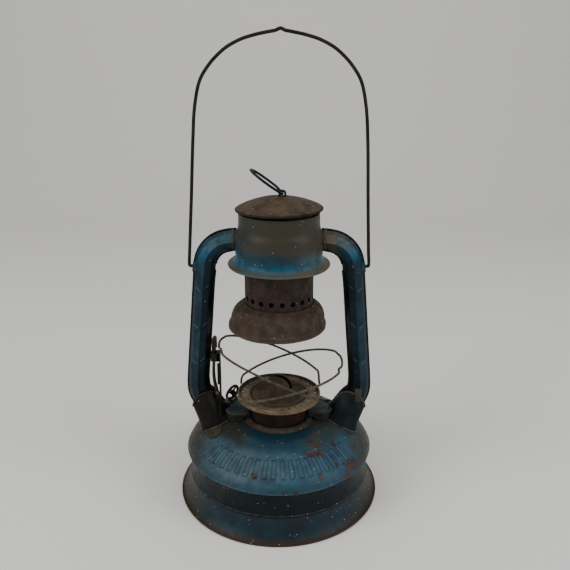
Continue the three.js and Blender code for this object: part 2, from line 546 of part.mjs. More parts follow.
// A guard wire stands beside the dish's rim at its low end and leans up and out over the other side.
// Its rear half runs straighter than its front half and drops to the rim in a short upright post.
const guardWire = ({ high, low, halfWidth, rear, front, post, end }) => {
  const centre = (high + low) / 2;
  const reach = (high - low) / 2;
  const at = (degrees, fixedZ) => {
    const angle = THREE.MathUtils.degToRad(degrees);
    const x = centre + reach * Math.cos(angle);
    const share = THREE.MathUtils.clamp(0.5 + 1.2 * Math.sin(angle), 0, 1);
    const rearZ = rear.z + rear.slope * x;
    const frontZ = front.z + front.slope * x - front.sag * x * x;
    const z = fixedZ ?? share * rearZ + (1 - share) * frontZ;
    return new THREE.Vector3(x, halfWidth * Math.sin(angle), z);
  };
  const points = [];
  const steps = 20;
  for (let i = 0; i <= steps; i++) points.push(at(-end + ((end + post - 4) * i) / steps));
  points.push(at(post - 0.5, 93.5), at(post + 0.5, 91), at(post + 1, 88.5));
  for (const point of points) {
    const r = Math.hypot(point.x, point.y);
    const clear = DISH.rim + GAP + GUARD.wire + 0.2;
    const beside = point.z < DISH.rimZ + 4 && r < clear ? clear / r : 1;
    point.set(point.x * beside, point.y * beside, Math.max(point.z, DISH.bottomZ + 1.4));
  }
  return wireAlong(new THREE.CatmullRomCurve3(points), GUARD.wire, 40, 5);
};
const guardRight = {
  high: 53.4, low: -38.6, halfWidth: 36.6, post: 152, end: 152,
  rear: { z: 105.3, slope: 0.305 }, front: { z: 103.2, slope: 0.32, sag: 0.0018 },
};
const guardLeft = {
  high: 50.3, low: -38.4, halfWidth: 32.6, post: 158, end: 161,
  rear: { z: 116.1, slope: 0.41 }, front: { z: 112.4, slope: 0.535, sag: 0.003 },
};
place("guard_wire_right", guardWire(guardRight), WIRE);
place("guard_wire_left", mirrorX(guardWire(guardLeft)), WIRE);

// A strip bent along a curve in the XZ plane.
const bentStrip = (points, thickness, y0, y1, steps = 14) => {
  const curve = new THREE.SplineCurve(points.map(([x, z]) => new THREE.Vector2(x, z)));
  const shift = (side) => (_, i) => {
    const tangent = curve.getTangent(i / steps);
    const p = curve.getPoint(i / steps);
    return [p.x - (side * tangent.y * thickness) / 2, p.y + (side * tangent.x * thickness) / 2];
  };
  const slots = Array.from({ length: steps + 1 });
  return plate([...slots.map(shift(1)), ...slots.map(shift(-1)).reverse()], y0, y1);
};
const liftLow = LIFT.y - LIFT.width / 2;
const liftHigh = LIFT.y + LIFT.width / 2;
const stripPoints = [[-53.9, 133], [-54.1, 126], [-55.1, 112], [-54.5, 101], [-52.4, 91], [-51.5, 86.8]];
const thumb = new THREE.Shape();
thumb.moveTo(-4, 131);
thumb.lineTo(-4, 139);
thumb.absarc(0, 139, 4, Math.PI, 0, true);
thumb.lineTo(4, 131);
const thumbTab = plate(thumb, -0.6, 0.6).rotate([0, 0, 90]).translate([-53.9, LIFT.y, 0]);
place("lift_strip", bentStrip(stripPoints, LIFT.thickness, liftLow, liftHigh).add(thumbTab), DARK_RUST);
const bracketY = [liftLow - 0.9, liftHigh + 2];
place("lift_bracket", block([-57, bracketY[0], 121], [-49.2, bracketY[1], 128.4])
  .subtract(block([-56.2, liftLow - 0.35, 110], [-52.4, liftHigh + 0.35, 140]))
  .add(block([-50.4, liftHigh + 0.2, 84], [-49.2, bracketY[1], 122]))
  .add(block([-53, bracketY[1] - 0.9, 86], [-49.2, bracketY[1], 118]))
  .subtract(mirrorX(tubeEnvelope(GAP))), DARK_BLUE);
const linkPath = new THREE.CatmullRomCurve3(
  [[-51.9, 89.8], [-49.6, 85.4], [-45, 82.4], [-40, 83], [-36.9, 86.4], [-36.4, 89.6]].map(
    ([x, z]) => new THREE.Vector3(x, liftLow - 1.2, z)),
);
place("lift_link", wireAlong(linkPath, 0.9, 18, 6), DARK_RUST);

export default lantern;
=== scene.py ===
"""Looks of a worn blue tubular kerosene lantern without its globe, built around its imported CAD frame."""
import math

import bmesh
import bpy
import numpy as np
from mathutils import Matrix, Vector, noise


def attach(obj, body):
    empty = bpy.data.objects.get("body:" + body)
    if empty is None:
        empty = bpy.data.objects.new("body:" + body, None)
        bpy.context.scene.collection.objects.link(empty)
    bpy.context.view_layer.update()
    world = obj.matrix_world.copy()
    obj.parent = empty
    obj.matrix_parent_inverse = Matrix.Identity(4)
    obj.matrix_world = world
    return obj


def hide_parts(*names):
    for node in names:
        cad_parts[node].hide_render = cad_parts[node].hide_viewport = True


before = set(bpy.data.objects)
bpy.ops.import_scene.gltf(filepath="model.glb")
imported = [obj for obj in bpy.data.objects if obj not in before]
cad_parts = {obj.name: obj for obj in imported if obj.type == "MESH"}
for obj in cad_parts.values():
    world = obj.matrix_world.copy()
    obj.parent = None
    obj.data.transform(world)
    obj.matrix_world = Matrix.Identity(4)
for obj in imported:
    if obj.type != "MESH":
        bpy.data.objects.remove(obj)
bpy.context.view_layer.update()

MM = 0.001
SEGMENTS = 192  # facets round a turned piece
SIDES = ((-1, "left"), (1, "right"))


# ---------- shapes, in millimetres ----------
def smooth_path(points, per=8, closed=False):
    """A centripetal Catmull-Rom curve through points of any dimension."""
    p = np.asarray(points, float)
    if closed:
        p = np.vstack([p[-1], p, p[0], p[1]])
    else:
        p = np.vstack([2 * p[0] - p[1], p, 2 * p[-1] - p[-2]])
    out = []
    for i in range(1, len(p) - 2):
        q = p[i - 1:i + 3]
        steps = np.maximum(np.linalg.norm(np.diff(q, axis=0), axis=1), 1e-9) ** 0.5
        t = np.concatenate([[0], np.cumsum(steps)])
        for u in np.linspace(t[1], t[2], per, endpoint=False):
            a = [((t[k + 1] - u) * q[k] + (u - t[k]) * q[k + 1]) / (t[k + 1] - t[k]) for k in range(3)]
            b = [((t[k + 2] - u) * a[k] + (u - t[k]) * a[k + 1]) / (t[k + 2] - t[k]) for k in range(2)]
            out.append(((t[2] - u) * b[0] + (u - t[1]) * b[1]) / (t[2] - t[1]))
    if not closed:
        out.append(p[-2])
    return np.array(out)


def arc(centre, radius, start, end, steps):
    """Points on an arc in a plane, from one angle in degrees to another."""
    t = np.radians(np.linspace(start, end, steps + 1))
    return np.stack([centre[0] + radius * np.cos(t), centre[1] + radius * np.sin(t)], 1)


def grid_faces(rows, columns, close_rows, close_columns):
    """Quads over a grid of vertices, and the index of each corner."""
    i = np.arange(rows if close_rows else rows - 1)
    j = np.arange(columns if close_columns else columns - 1)
    i, j = np.meshgrid(i, j, indexing="ij")
    i2, j2 = (i + 1) % rows, (j + 1) % columns
    return np.stack([i * columns + j, i2 * columns + j, i2 * columns + j2, i * columns + j2], -1).reshape(-1,
                                                                                                          4)


def lathe(profile, segments=SEGMENTS):
    """A closed profile of [radius, z] turned round Z, as a grid [segment, profile point]."""
    profile = np.asarray(profile, float)[:, :2]
    angle = np.linspace(0, 2 * np.pi, segments, endpoint=False)[:, None]
    r, z = profile[None, :, 0], profile[None, :, 1]
    verts = np.stack([r * np.cos(angle), r * np.sin(angle), z + 0 * angle], -1)
    return verts, grid_faces(segments, len(profile), True, True)


def tube_frames(path, closed=False):
    """Two directions square to a path at each of its points, turning as little as possible."""
    path = np.asarray(path, float)
    if closed:
        tangent = np.roll(path, -1, 0) - np.roll(path, 1, 0)
    else:
        tangent = np.gradient(path, axis=0)
    tangent /= np.linalg.norm(tangent, axis=1)[:, None]
    side = np.zeros_like(path)
    start = np.array([0, 1.0, 0]) if abs(tangent[0][1]) < 0.9 else np.array([1.0, 0, 0])
    for i, t in enumerate(tangent):
        start = start - t * start.dot(t)
        start /= np.linalg.norm(start)
        side[i] = start
    return side, np.cross(tangent, side)


def sweep(path, radius, sides=12, closed=False, flat=1.0):
    """A round or flattened bar along a path. A closed path's frames are turned to meet."""
    path = np.asarray(path, float)
    side, up = tube_frames(path, closed)
    t = np.linspace(0, 2 * np.pi, sides, endpoint=False)
    if closed:
        last = np.cross(np.cross(path[0] - path[-1], side[-1]), path[0] - path[-1])
        last /= np.linalg.norm(last)
        twist = math.atan2(last.dot(up[0]), last.dot(side[0]))
        turn = -twist * np.arange(len(path)) / len(path)
        side, up = (side * np.cos(turn)[:, None] + up * np.sin(turn)[:, None],
                    up * np.cos(turn)[:, None] - side * np.sin(turn)[:, None])
    radius = np.broadcast_to(radius, len(path))[:, None, None]
    ring = np.cos(t)[None, :, None] * side[:, None] * flat + np.sin(t)[None, :, None] * up[:, None]
    verts = path[:, None] + radius * ring
    faces = grid_faces(len(path), sides, closed, True).tolist()
    if not closed:
        faces += [list(range(sides)), list(range((len(path) - 1) * sides, len(path) * sides))]
    return verts, faces


def loft(rings):
    """A closed body through closed rings of points, capped at both ends."""
    rings = np.asarray(rings, float)
    count, size = rings.shape[:2]
    faces = grid_faces(count, size, False, True).tolist()
    faces += [list(range(size)), list(range((count - 1) * size, count * size))]
    return rings, faces


def rounded_box(low, high, bevel):
    """A box with rounded edges, as a mesh."""
    bm = bmesh.new()
    bmesh.ops.create_cube(bm, size=1)
    low, high = Vector(low), Vector(high)
    for v in bm.verts:
        v.co = Vector(((low[k] + high[k]) / 2 + v.co[k] * (high[k] - low[k])) for k in range(3))
    bmesh.ops.bevel(bm, geom=list(bm.edges), offset=bevel, segments=4, profile=0.5, affect="EDGES")
    verts = [tuple(v.co) for v in bm.verts]
    faces = [[v.index for v in f.verts] for f in bm.faces]
    bm.free()
    return np.array(verts), faces


def joined(*meshes):
    """Several [verts, faces] as one."""
    verts, faces, base = [], [], 0
    for v, f in meshes:
        v = np.asarray(v, float).reshape(-1, 3)
        verts.append(v)
        faces += [[int(k) + base for k in face] for face in f]
        base += len(v)
    return np.vstack(verts), faces


def moved(mesh, matrix):
    """A mesh with its points moved by a 4x4 matrix."""
    verts = np.asarray(mesh[0], float).reshape(-1, 3)
    m = np.array(matrix)
    return verts @ m[:3, :3].T + m[:3, 3], mesh[1]


noise.seed_set(7)  # without a seed this noise follows the clock


def worked(verts, amount, size, seed=0.0):
    """Points pushed about by smooth noise, as in old sheet metal: amount and size in millimetres."""
    flat = verts.reshape(-1, 3)
    shift = Vector((seed, seed * 1.7, -seed))
    out = np.array([noise.noise_vector(Vector(p) / size + shift) for p in flat])
    return (flat + amount * out).reshape(verts.shape)


def mirrored(points, flip):
    """An open outline and its mirror image, joined at its last point."""
    return np.vstack([points, (points * flip)[::-1][1:]])


def direction(angle):
    """The level direction at an angle in radians."""
    return np.array([math.cos(angle), math.sin(angle), 0])


def cleaned(data, merge):
    """Turns a mesh's faces outward, and merges its doubled points if merge is true."""
    bm = bmesh.new()
    bm.from_mesh(data)
    if merge:
        bmesh.ops.remove_doubles(bm, verts=bm.verts, dist=1e-7)
    bmesh.ops.recalc_face_normals(bm, faces=bm.faces)
    bm.to_mesh(data)
    bm.free()


def make(name, mesh, material, body, replaces=(), wear_and_shading=None, sharp=32, cut=None, solid=None,
         marks=None):
    """A piece from a mesh in millimetres, shaded smooth but for its sharp edges.

    solid is a wall thickness to give an open sheet, and cut is a mesh to take away."""
    verts = np.asarray(mesh[0], float).reshape(-1, 3) * MM
    data = bpy.data.meshes.new(name)
    data.from_pydata(verts.tolist(), [], [list(map(int, f)) for f in mesh[1]])
    for attribute, values in (("wear_and_shading", wear_and_shading), ("marks", marks)):
        if values is not None:
            layer = data.attributes.new(attribute, "FLOAT", "POINT")
            layer.data.foreach_set("value", np.asarray(values, np.float32).ravel())
    cleaned(data, merge=True)
    piece = bpy.data.objects.new(name, data)
    bpy.context.scene.collection.objects.link(piece)
    data.materials.append(material)
    if solid:
        thick = piece.modifiers.new("solid", "SOLIDIFY")
        thick.thickness = solid * MM
        thick.offset = -1
        applied(piece)
    if cut is not None:
        cutter = bpy.data.objects.new("cutter", bpy.data.meshes.new("cutter"))
        cutter.data.from_pydata((np.asarray(cut[0]).reshape(-1, 3) * MM).tolist(), [], cut[1])
        cleaned(cutter.data, merge=False)
        bpy.context.scene.collection.objects.link(cutter)
        difference = piece.modifiers.new("cut", "BOOLEAN")
        difference.operation = "DIFFERENCE"
        difference.object = cutter
        difference.solver = "EXACT"
        applied(piece)
        bpy.data.objects.remove(cutter)
    piece.data.shade_smooth()
    piece.data.set_sharp_from_angle(angle=math.radians(sharp))
    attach(piece, body)
    if replaces:
        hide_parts(*replaces)


def applied(piece):
    """Bakes a piece's modifiers into its mesh."""
    bpy.context.view_layer.update()
    graph = bpy.context.evaluated_depsgraph_get()
    data = bpy.data.meshes.new_from_object(piece.evaluated_get(graph))
    piece.modifiers.clear()
    piece.data = data


# ---------- materials ----------
class Shade:
    """A procedural material. Each method adds a node and returns its output socket."""

    def __init__(self, name, specular=0.5, metallic=0.0):
        self.material = bpy.data.materials.new(name)
        self.material.use_nodes = True
        self.tree = self.material.node_tree
        self.tree.nodes.clear()
        self.bsdf = self.tree.nodes.new("ShaderNodeBsdfPrincipled")
        out = self.tree.nodes.new("ShaderNodeOutputMaterial")
        self.tree.links.new(self.bsdf.outputs["BSDF"], out.inputs["Surface"])
        self.bsdf.inputs["Specular IOR Level"].default_value = specular
        self.bsdf.inputs["Metallic"].default_value = metallic
        self.coords = self.tree.nodes.new("ShaderNodeTexCoord").outputs["Object"]
        split = self.tree.nodes.new("ShaderNodeSeparateXYZ")
        self.tree.links.new(self.coords, split.inputs[0])
        self.x, self.y, self.z = split.outputs

    def put(self, socket, value):
        """Links a socket to a socket, or sets it to a colour or a number."""
        if isinstance(value, bpy.types.NodeSocket):
            self.tree.links.new(value, socket)
        elif isinstance(value, tuple):
            socket.default_value = (*value[:3], 1.0)
        else:
            socket.default_value = value

    def shifted(self, offset):
        """The object's coordinates moved by an offset."""
        place = self.tree.nodes.new("ShaderNodeMapping")
        self.tree.links.new(self.coords, place.inputs["Vector"])
        place.inputs["Location"].default_value = offset
        return place.outputs[0]

    def noise(self, size, detail=4.0, rough=0.55, seed=0.0, twist=0.0):
        """Noise whose features are about size millimetres across."""
        node = self.tree.nodes.new("ShaderNodeTexNoise")
        self.tree.links.new(self.shifted((seed, seed * 0.7, -seed)), node.inputs["Vector"])
        for key, value in (("Scale", 1 / (size * MM)), ("Detail", detail), ("Roughness", rough),
                           ("Distortion", twist)):
            node.inputs[key].default_value = value
        return node.outputs["Fac"]

    def patches(self, noise_of, low, high, to=(0.0, 1.0)):
        """Noise of (size, detail, roughness, seed) eased from to[0] at low up to to[1] at high."""
        return self.span(self.noise(*noise_of), low, high, to)

    def specks(self, size, share, seed=0.0):
        """Sparse round specks: 1 in a speck and 0 elsewhere."""
        cells = self.tree.nodes.new("ShaderNodeTexVoronoi")
        self.tree.links.new(self.shifted((seed, -seed, seed * 0.3)), cells.inputs["Vector"])
        cells.inputs["Scale"].default_value = 1 / (size * MM)
        split = self.tree.nodes.new("ShaderNodeSeparateColor")
        self.tree.links.new(cells.outputs["Color"], split.inputs[0])
        chosen = self.span(split.outputs[0], 1 - share, 1 - share + 0.001)
        near = self.span(cells.outputs["Distance"], 0.3, 0.16)
        return self.times(chosen, near)

    def span(self, value, low, high, to=(0.0, 1.0)):
        """value eased from to[0] at low up to to[1] at high. low may be above high."""
        node = self.tree.nodes.new("ShaderNodeMapRange")
        node.interpolation_type = "SMOOTHSTEP"
        if low > high:
            low, high, to = high, low, (to[1], to[0])
        self.put(node.inputs["Value"], value)
        for key, number in (("From Min", low), ("From Max", high), ("To Min", to[0]), ("To Max", to[1])):
            node.inputs[key].default_value = number
        return node.outputs[0]

    def math(self, operation, a, b=0.0):
        node = self.tree.nodes.new("ShaderNodeMath")
        node.operation = operation
        self.put(node.inputs[0], a)
        self.put(node.inputs[1], b)
        return node.outputs[0]

    def times(self, a, b):
        return self.math("MULTIPLY", a, b)

    def plus(self, a, b):
        return self.math("ADD", a, b)

    def minus(self, a, b):
        return self.math("SUBTRACT", a, b)

    def most(self, a, b):
        return self.math("MAXIMUM", a, b)

    def mix(self, share, a, b):
        """Colour a, turning into b as share goes from 0 to 1."""
        node = self.tree.nodes.new("ShaderNodeMix")
        node.data_type = "RGBA"
        self.put(node.inputs[0], share)
        self.put(node.inputs[6], a)
        self.put(node.inputs[7], b)
        return node.outputs[2]

    def attribute(self, name):
        node = self.tree.nodes.new("ShaderNodeAttribute")
        node.attribute_name = name
        return node.outputs["Fac"]

    def radius(self):
        """Distance from the lantern's axis."""
        squares = [self.times(v, v) for v in (self.x, self.y)]
        return self.math("SQRT", self.plus(*squares))

    def blotches(self, places, seed):
        """1 in ragged round blotches at places of (x, y, z, radius) in millimetres, and 0 elsewhere."""
        ragged = self.times(self.minus(self.noise(7, 10, 0.75, seed), 0.5), 4.4)
        total = 0.0
        for x, y, z, size in places:
            offsets = [self.minus(value, at * MM) for value, at in ((self.x, x), (self.y, y), (self.z, z))]
            squares = [self.times(offset, offset) for offset in offsets]
            away = self.math("SQRT", self.plus(self.plus(*squares[:2]), squares[2]))
            share = self.plus(self.math("DIVIDE", away, size * MM), ragged)
            total = self.most(total, self.span(share, 1.05, 0.35))
        return total

    def finish(self, colour, rough, height, strength, depth=0.0004):
        """Puts colour, roughness and a bump of height on the surface, and returns the material."""
        bump = self.tree.nodes.new("ShaderNodeBump")
        bump.inputs["Strength"].default_value = strength
        bump.inputs["Distance"].default_value = depth
        self.tree.links.new(height, bump.inputs["Height"])
        self.tree.links.new(bump.outputs[0], self.bsdf.inputs["Normal"])
        self.put(self.bsdf.inputs["Base Color"], colour)
        self.put(self.bsdf.inputs["Roughness"], rough)
        return self.material


BLACK = (0.0016, 0.0015, 0.0014)
SOOT = (0.0050, 0.0046, 0.0042)
NAVY = (0.0028, 0.0080, 0.0125)
DEEP = (0.0050, 0.0230, 0.0400)
MID = (0.0150, 0.0600, 0.0900)
BRIGHT = (0.0120, 0.0900, 0.1600)
PALE = (0.0700, 0.1350, 0.1700)
SLATE = (0.0140, 0.0240, 0.0300)
OLIVE = (0.0460, 0.0460, 0.0340)
SMOKE = (0.0450, 0.0410, 0.0290)
RUST = (0.0800, 0.0370, 0.0190)
UMBER = (0.0340, 0.0210, 0.0135)
DUST = (0.4200, 0.4000, 0.3600)
GOLD = (0.1250, 0.0980, 0.0580)


def enamel(name, tone, film=0.4, rust=0.4, speck=0.02, seed=0.0, worn_and_shaded=GOLD, steady=0.0, mark=SOOT, places=()):
    """Old blue enamel. tone(shade) gives its colour before film, chips, rust and specks go on it.

    A per-point attribute blends the colour towards the worn colour, evenly if steady is 1: worn paint on most
    pieces, painted shade on the tubes and the air ducts, and a slight painted highlight on the tank's ribs.
    Marks blend towards mark, which on the tubes is a painted highlight."""
    s = Shade(name, specular=0.16)
    colour = tone(s)
    mottle = s.noise(5, 8, 0.68, seed + 1)
    haze = s.times(s.patches((26, 6, 0.6, seed + 2), 0.66 - 0.3 * film, 0.78 - 0.2 * film),
                   s.span(mottle, 0.35, 0.62))
    colour = s.mix(s.times(haze, 0.6), colour, OLIVE)
    colour = s.mix(s.times(s.patches((2.2, 5, 0.7, seed + 3), 0.54, 0.66), 0.35), colour, NAVY)
    patch = s.noise(17, 10, 0.66, seed + 4, twist=0.4)
    less = 0.12 * rust
    rusty = s.span(patch, 0.72 - less, 0.755 - less)
    stain = s.span(patch, 0.64 - less, 0.75 - less)
    if places:
        spots = s.blotches(places, seed + 11)
        colour = s.mix(s.times(spots, 0.85), colour, s.mix(s.span(mottle, 0.42, 0.6), UMBER, RUST))
    colour = s.mix(s.times(stain, 0.55), colour, UMBER)
    colour = s.mix(rusty, colour, s.mix(s.patches((2.5, 6, 0.7, seed + 5), 0.4, 0.62), UMBER, RUST))
    patchy = s.patches((3, 4, 0.6, seed + 10), 0.3, 0.55, (0.35, 0.9))
    colour = s.mix(s.times(s.attribute("marks"), patchy), colour, mark)
    rubbed_and_shaded = s.patches((6, 6, 0.65, seed + 6), 0.3, 0.6, (steady, 1.0))
    colour = s.mix(s.times(s.attribute("wear_and_shading"), rubbed_and_shaded), colour, worn_and_shaded)
    colour = s.mix(s.times(s.specks(1.7, speck, seed + 7), 0.8), colour, DUST)
    dull = s.most(s.most(rusty, haze), s.span(mottle, 0.45, 0.7, (0.0, 0.6)))
    height = s.minus(s.times(s.noise(1.1, 6, 0.7, seed + 8), 0.5),
                     s.times(rusty, s.noise(0.7, 4, 0.7, seed + 9)))
    return s.finish(colour, s.span(dull, 0.0, 1.0, (0.42, 0.75)), height, 0.3)


def rusted(name, dark, light, ruddy, speck=0.02, seed=0.0, rough=(0.62, 0.88), size=9.0, metallic=0.0,
           inside=0.0, worn_and_shaded=GOLD, hub=None):
    """Bare sheet steel under a brown skin of oxide, sooty within the radius called inside.

    hub is two radii and the colour that the sheet turns to between them."""
    s = Shade(name, specular=0.15, metallic=metallic)
    colour = s.mix(s.patches((size, 8, 0.62, seed), 0.34, 0.66), dark, light)
    colour = s.mix(s.times(s.patches((size * 2.2, 6, 0.6, seed + 2), 0.5, 0.7), 0.7), colour, ruddy)
    grain = s.noise(0.9, 6, 0.72, seed + 3)
    colour = s.mix(s.span(grain, 0.52, 0.7, (0.0, 0.4)), colour, SOOT)
    if hub:
        colour = s.mix(s.span(s.radius(), *hub[:2]), colour, hub[2])
    colour = s.mix(s.times(s.attribute("wear_and_shading"), 0.5), colour, worn_and_shaded)
    colour = s.mix(s.times(s.specks(1.6, speck, seed + 4), 0.8), colour, DUST)
    # Marks turn the sheet black: soot in the burner, and painted shade in the cap's dents, under its rim and
    # on the dish's inner rim wall.
    colour = s.mix(s.times(s.attribute("marks"), 0.9), colour, BLACK)
    if inside:
        colour = s.mix(s.span(s.radius(), inside, inside - 0.0003), colour, BLACK)
    height = s.plus(grain, s.times(s.noise(3.2, 6, 0.6, seed + 5), 0.8))
    return s.finish(colour, s.patches((4, 6, 0.6, seed + 6), 0.35, 0.65, rough), height, 0.4)


def tank_tone(s):
    """Navy round the burner and olive at the sides, with a painted highlight on the shoulder and painted shade
    that darkens the dome over the crease and leaves the band under it nearly black.
    """
    grey_blue, dull_blue = (0.0240, 0.0650, 0.0880), (0.0150, 0.0420, 0.0610)
    pale_shoulder_highlight, blue_shoulder_highlight = (0.0620, 0.1170, 0.1440), (0.0330, 0.0980, 0.1520)
    shaded_over_crease, round_burner = (0.0120, 0.0400, 0.0600), (0.0075, 0.0260, 0.0420)
    brown_side, green_side = (0.0300, 0.0270, 0.0170), (0.0400, 0.0440, 0.0350)
    shaded_under_crease = (0.0010, 0.0055, 0.0095)
    blue = s.mix(s.patches((24, 5, 0.55, 3.1), 0.36, 0.62), grey_blue, dull_blue)
    # Painted highlight on the shoulder just over the crease, paler on the left and bluer on the right.
    shoulder = s.times(s.span(s.radius(), 0.047, 0.060), s.span(s.z, 0.0405, 0.0435))
    lit = s.times(shoulder, s.patches((12, 6, 0.6, 4.4), 0.3, 0.7, (0.15, 0.9)))
    blue = s.mix(lit, blue, s.mix(s.span(s.x, -0.020, 0.025), pale_shoulder_highlight, blue_shoulder_highlight))
    # Painted shade: the dome darkens as it turns down to the crease.
    blue = s.mix(s.span(s.z, 0.0530, 0.0450, (0.0, 0.6)), blue, shaded_over_crease)
    blue = s.mix(s.span(s.radius(), 0.0460, 0.0370), blue, round_burner)
    round_side = s.minus(s.math("ABSOLUTE", s.x), s.times(s.y, -0.25))
    olive = s.times(s.span(round_side, 0.040, 0.066), s.patches((14, 6, 0.6, 6.4), 0.24, 0.5, (0.35, 0.95)))
    near_shoe = s.times(s.span(s.radius(), 0.062, 0.048), s.span(s.math("ABSOLUTE", s.x), 0.020, 0.034))
    olive = s.most(olive, s.times(near_shoe, s.patches((9, 6, 0.6, 2.6), 0.3, 0.55, (0.3, 0.9))))
    blue = s.mix(olive, blue, s.mix(s.span(s.x, -0.020, 0.020), brown_side, green_side))
    # Painted shade: the band under the crease is nearly black, a little less where the sides are olive.
    below = s.times(s.span(s.z, 0.0425, 0.0405), s.span(olive, 0.0, 1.0, (0.98, 0.88)))
    blue = s.mix(below, blue, shaded_under_crease)
    slate = s.mix(s.patches((15, 6, 0.6, 5.2), 0.34, 0.66), SLATE, s.mix(0.35, SLATE, MID))
    blue = s.mix(s.times(s.span(s.z, 0.0205, 0.0195), 0.85), blue, s.mix(olive, slate, OLIVE))
    return s.mix(s.span(s.z, 0.0055, 0.0020), blue, UMBER)


def tube_tone(s):
    """Blue with a painted highlight on the bend, and grey where the hood smoked it."""
    dark_blue, lighter_blue = (0.0045, 0.0190, 0.0320), (0.0105, 0.0410, 0.0610)
    left_bend_highlight, right_bend_highlight = (0.0360, 0.0840, 0.1100), (0.0820, 0.1020, 0.1000)
    smoked = (0.1060, 0.0940, 0.0640)
    blue = s.mix(s.patches((16, 6, 0.6, 8.3), 0.36, 0.64), dark_blue, lighter_blue)
    blue = s.mix(s.span(s.z, 0.125, 0.085, (0.0, 0.65)), blue, NAVY)
    # Painted highlight over the bend: bright blue lower down, then a paler tint at its top.
    bend = s.times(s.span(s.z, 0.204, 0.218), s.patches((9, 6, 0.6, 9.1), 0.3, 0.55))
    crown = s.mix(s.span(s.x, -0.01, 0.01), left_bend_highlight, right_bend_highlight)
    blue = s.mix(bend, blue, s.mix(s.span(s.z, 0.214, 0.226), BRIGHT, crown))
    reach = s.plus(s.math("ABSOLUTE", s.x), s.times(s.x, -0.09))
    return s.mix(s.span(reach, 0.0440, 0.0380), blue, smoked)


def hood_tone(s):
    """Smoked grey-brown at the top, blue round the foot of the drum with a painted highlight low down and on
    the right, grey and olive on the flange.
    """
    highlit_low_blue, high_blue, right_highlight_blue = (0.0170, 0.0900, 0.1420), (0.0070, 0.0400, 0.0640), (0.0520, 0.1150,
                                                                                           0.1420)
    grey_edge, olive_edge = (0.0600, 0.0660, 0.0560), (0.0900, 0.0700, 0.0390)
    wander = s.times(s.minus(s.noise(26, 4, 0.5, 6.2), 0.5), 0.012)
    level = s.plus(s.plus(s.z, wander), s.times(s.x, 0.11))
    # Painted highlight: the blue is bright at the foot of the drum and paler on the right.
    blue = s.mix(s.span(s.z, 0.2105, 0.2190), highlit_low_blue, high_blue)
    blue = s.mix(s.span(s.x, 0.008, 0.026, (0.0, 0.8)), blue, right_highlight_blue)
    blue = s.mix(s.patches((9, 5, 0.6, 2.2), 0.42, 0.62, (0.0, 0.45)), blue, DEEP)
    colour = s.mix(s.span(level, 0.2130, 0.2260), blue, SMOKE)
    grey = s.times(s.span(s.x, -0.010, -0.032), s.span(level, 0.2220, 0.2290))
    colour = s.mix(s.times(grey, 0.5), colour, SLATE)
    edge = s.times(s.span(s.radius(), 0.0352, 0.0378), s.patches((5, 6, 0.65, 3.7), 0.3, 0.55, (0.45, 0.97)))
    return s.mix(edge, colour, s.mix(s.span(s.x, 0.002, 0.024), grey_edge, olive_edge))


def shoe_tone(s):
    """Nearly black: brownish on the left shoe and bluish on the right one."""
    side = s.span(s.x, -0.01, 0.01)
    dark = s.mix(side, (0.0080, 0.0072, 0.0052), (0.0048, 0.0105, 0.0125))
    light = s.mix(side, (0.0125, 0.0115, 0.0085), (0.0085, 0.0200, 0.0260))
    return s.mix(s.patches((9, 6, 0.6, 7.7), 0.4, 0.65), dark, light)


def neck_tone(s):
    """Smoked grey with brown patches."""
    return s.mix(s.patches((8, 6, 0.6, 4.2), 0.4, 0.6), (0.0500, 0.0480, 0.0350), (0.0440, 0.0300, 0.0190))


def duct_tone(s):
    """Slate with paler blue-grey patches."""
    return s.mix(s.patches((7, 6, 0.6, 5.5), 0.40, 0.62), SLATE, (0.045, 0.066, 0.078))


TANK_RUST = [
    (31, -50, 62, 6), (25, -52, 62, 4.5), (24, -39, 65, 5), (30, -42, 64, 4), (45, -37, 62, 4),
    (57, -49, 51, 7),
    (61, -44, 50, 5), (62, -30, 54, 4), (48, -54, 54, 3), (34, -67, 50, 3), (-19, -70, 53, 3),
    (-42, -21, 64.5, 3.5),
    (55, -57, 43.5, 5), (4, -79, 43.5, 2.5), (14, -78, 43.5, 2.5)]
TANK = enamel("tank_enamel", tank_tone, film=0.35, rust=0.5, speck=0.034, seed=1.3,
              worn_and_shaded=(0.095, 0.105, 0.100),
              places=TANK_RUST)
# On the tubes the worn colour is black, painted shade on the inner and steep facets, and mark is pale, a
# painted highlight on the chevrons.
TUBE = enamel("tube_enamel", tube_tone, film=0.12, rust=0.2, speck=0.010, seed=4.7, worn_and_shaded=BLACK, steady=0.75,
              mark=PALE)
SHOE = enamel("shoe_enamel", shoe_tone, film=0.3, rust=0.3, speck=0.006, seed=6.1)
HOOD = enamel("hood_enamel", hood_tone, film=0.0, rust=0.1, speck=0.022, seed=2.9)
# The air ducts' dark olive worn colour is painted shade on their walls under the top plate.
DUCT = enamel("duct_enamel", duct_tone, film=0.4, rust=0.2, speck=0.012, seed=3.3, worn_and_shaded=(0.030, 0.028, 0.020),
              steady=0.8)
NECK = enamel("neck_enamel", neck_tone, film=0.4, rust=0.35, seed=8.8)
CAP = rusted("cap_rust", (0.038, 0.030, 0.019), (0.086, 0.061, 0.039), (0.092, 0.052, 0.031), 0.020, 1.1,
             worn_and_shaded=UMBER)
FLUE = rusted("flue_rust", (0.027, 0.0180, 0.0145), (0.046, 0.0320, 0.0250), (0.042, 0.0235, 0.0185), 0.026,
              2.2,
              inside=0.0276)
BELL = rusted("bell_rust", (0.038, 0.0270, 0.0195), (0.070, 0.050, 0.036), (0.056, 0.033, 0.023), 0.030, 3.4)
DISH = rusted("dish_rust", (0.112, 0.083, 0.051), (0.225, 0.170, 0.108), (0.135, 0.086, 0.053), 0.018, 5.6,
              hub=(0.0285, 0.0235, (0.062, 0.046, 0.030)))
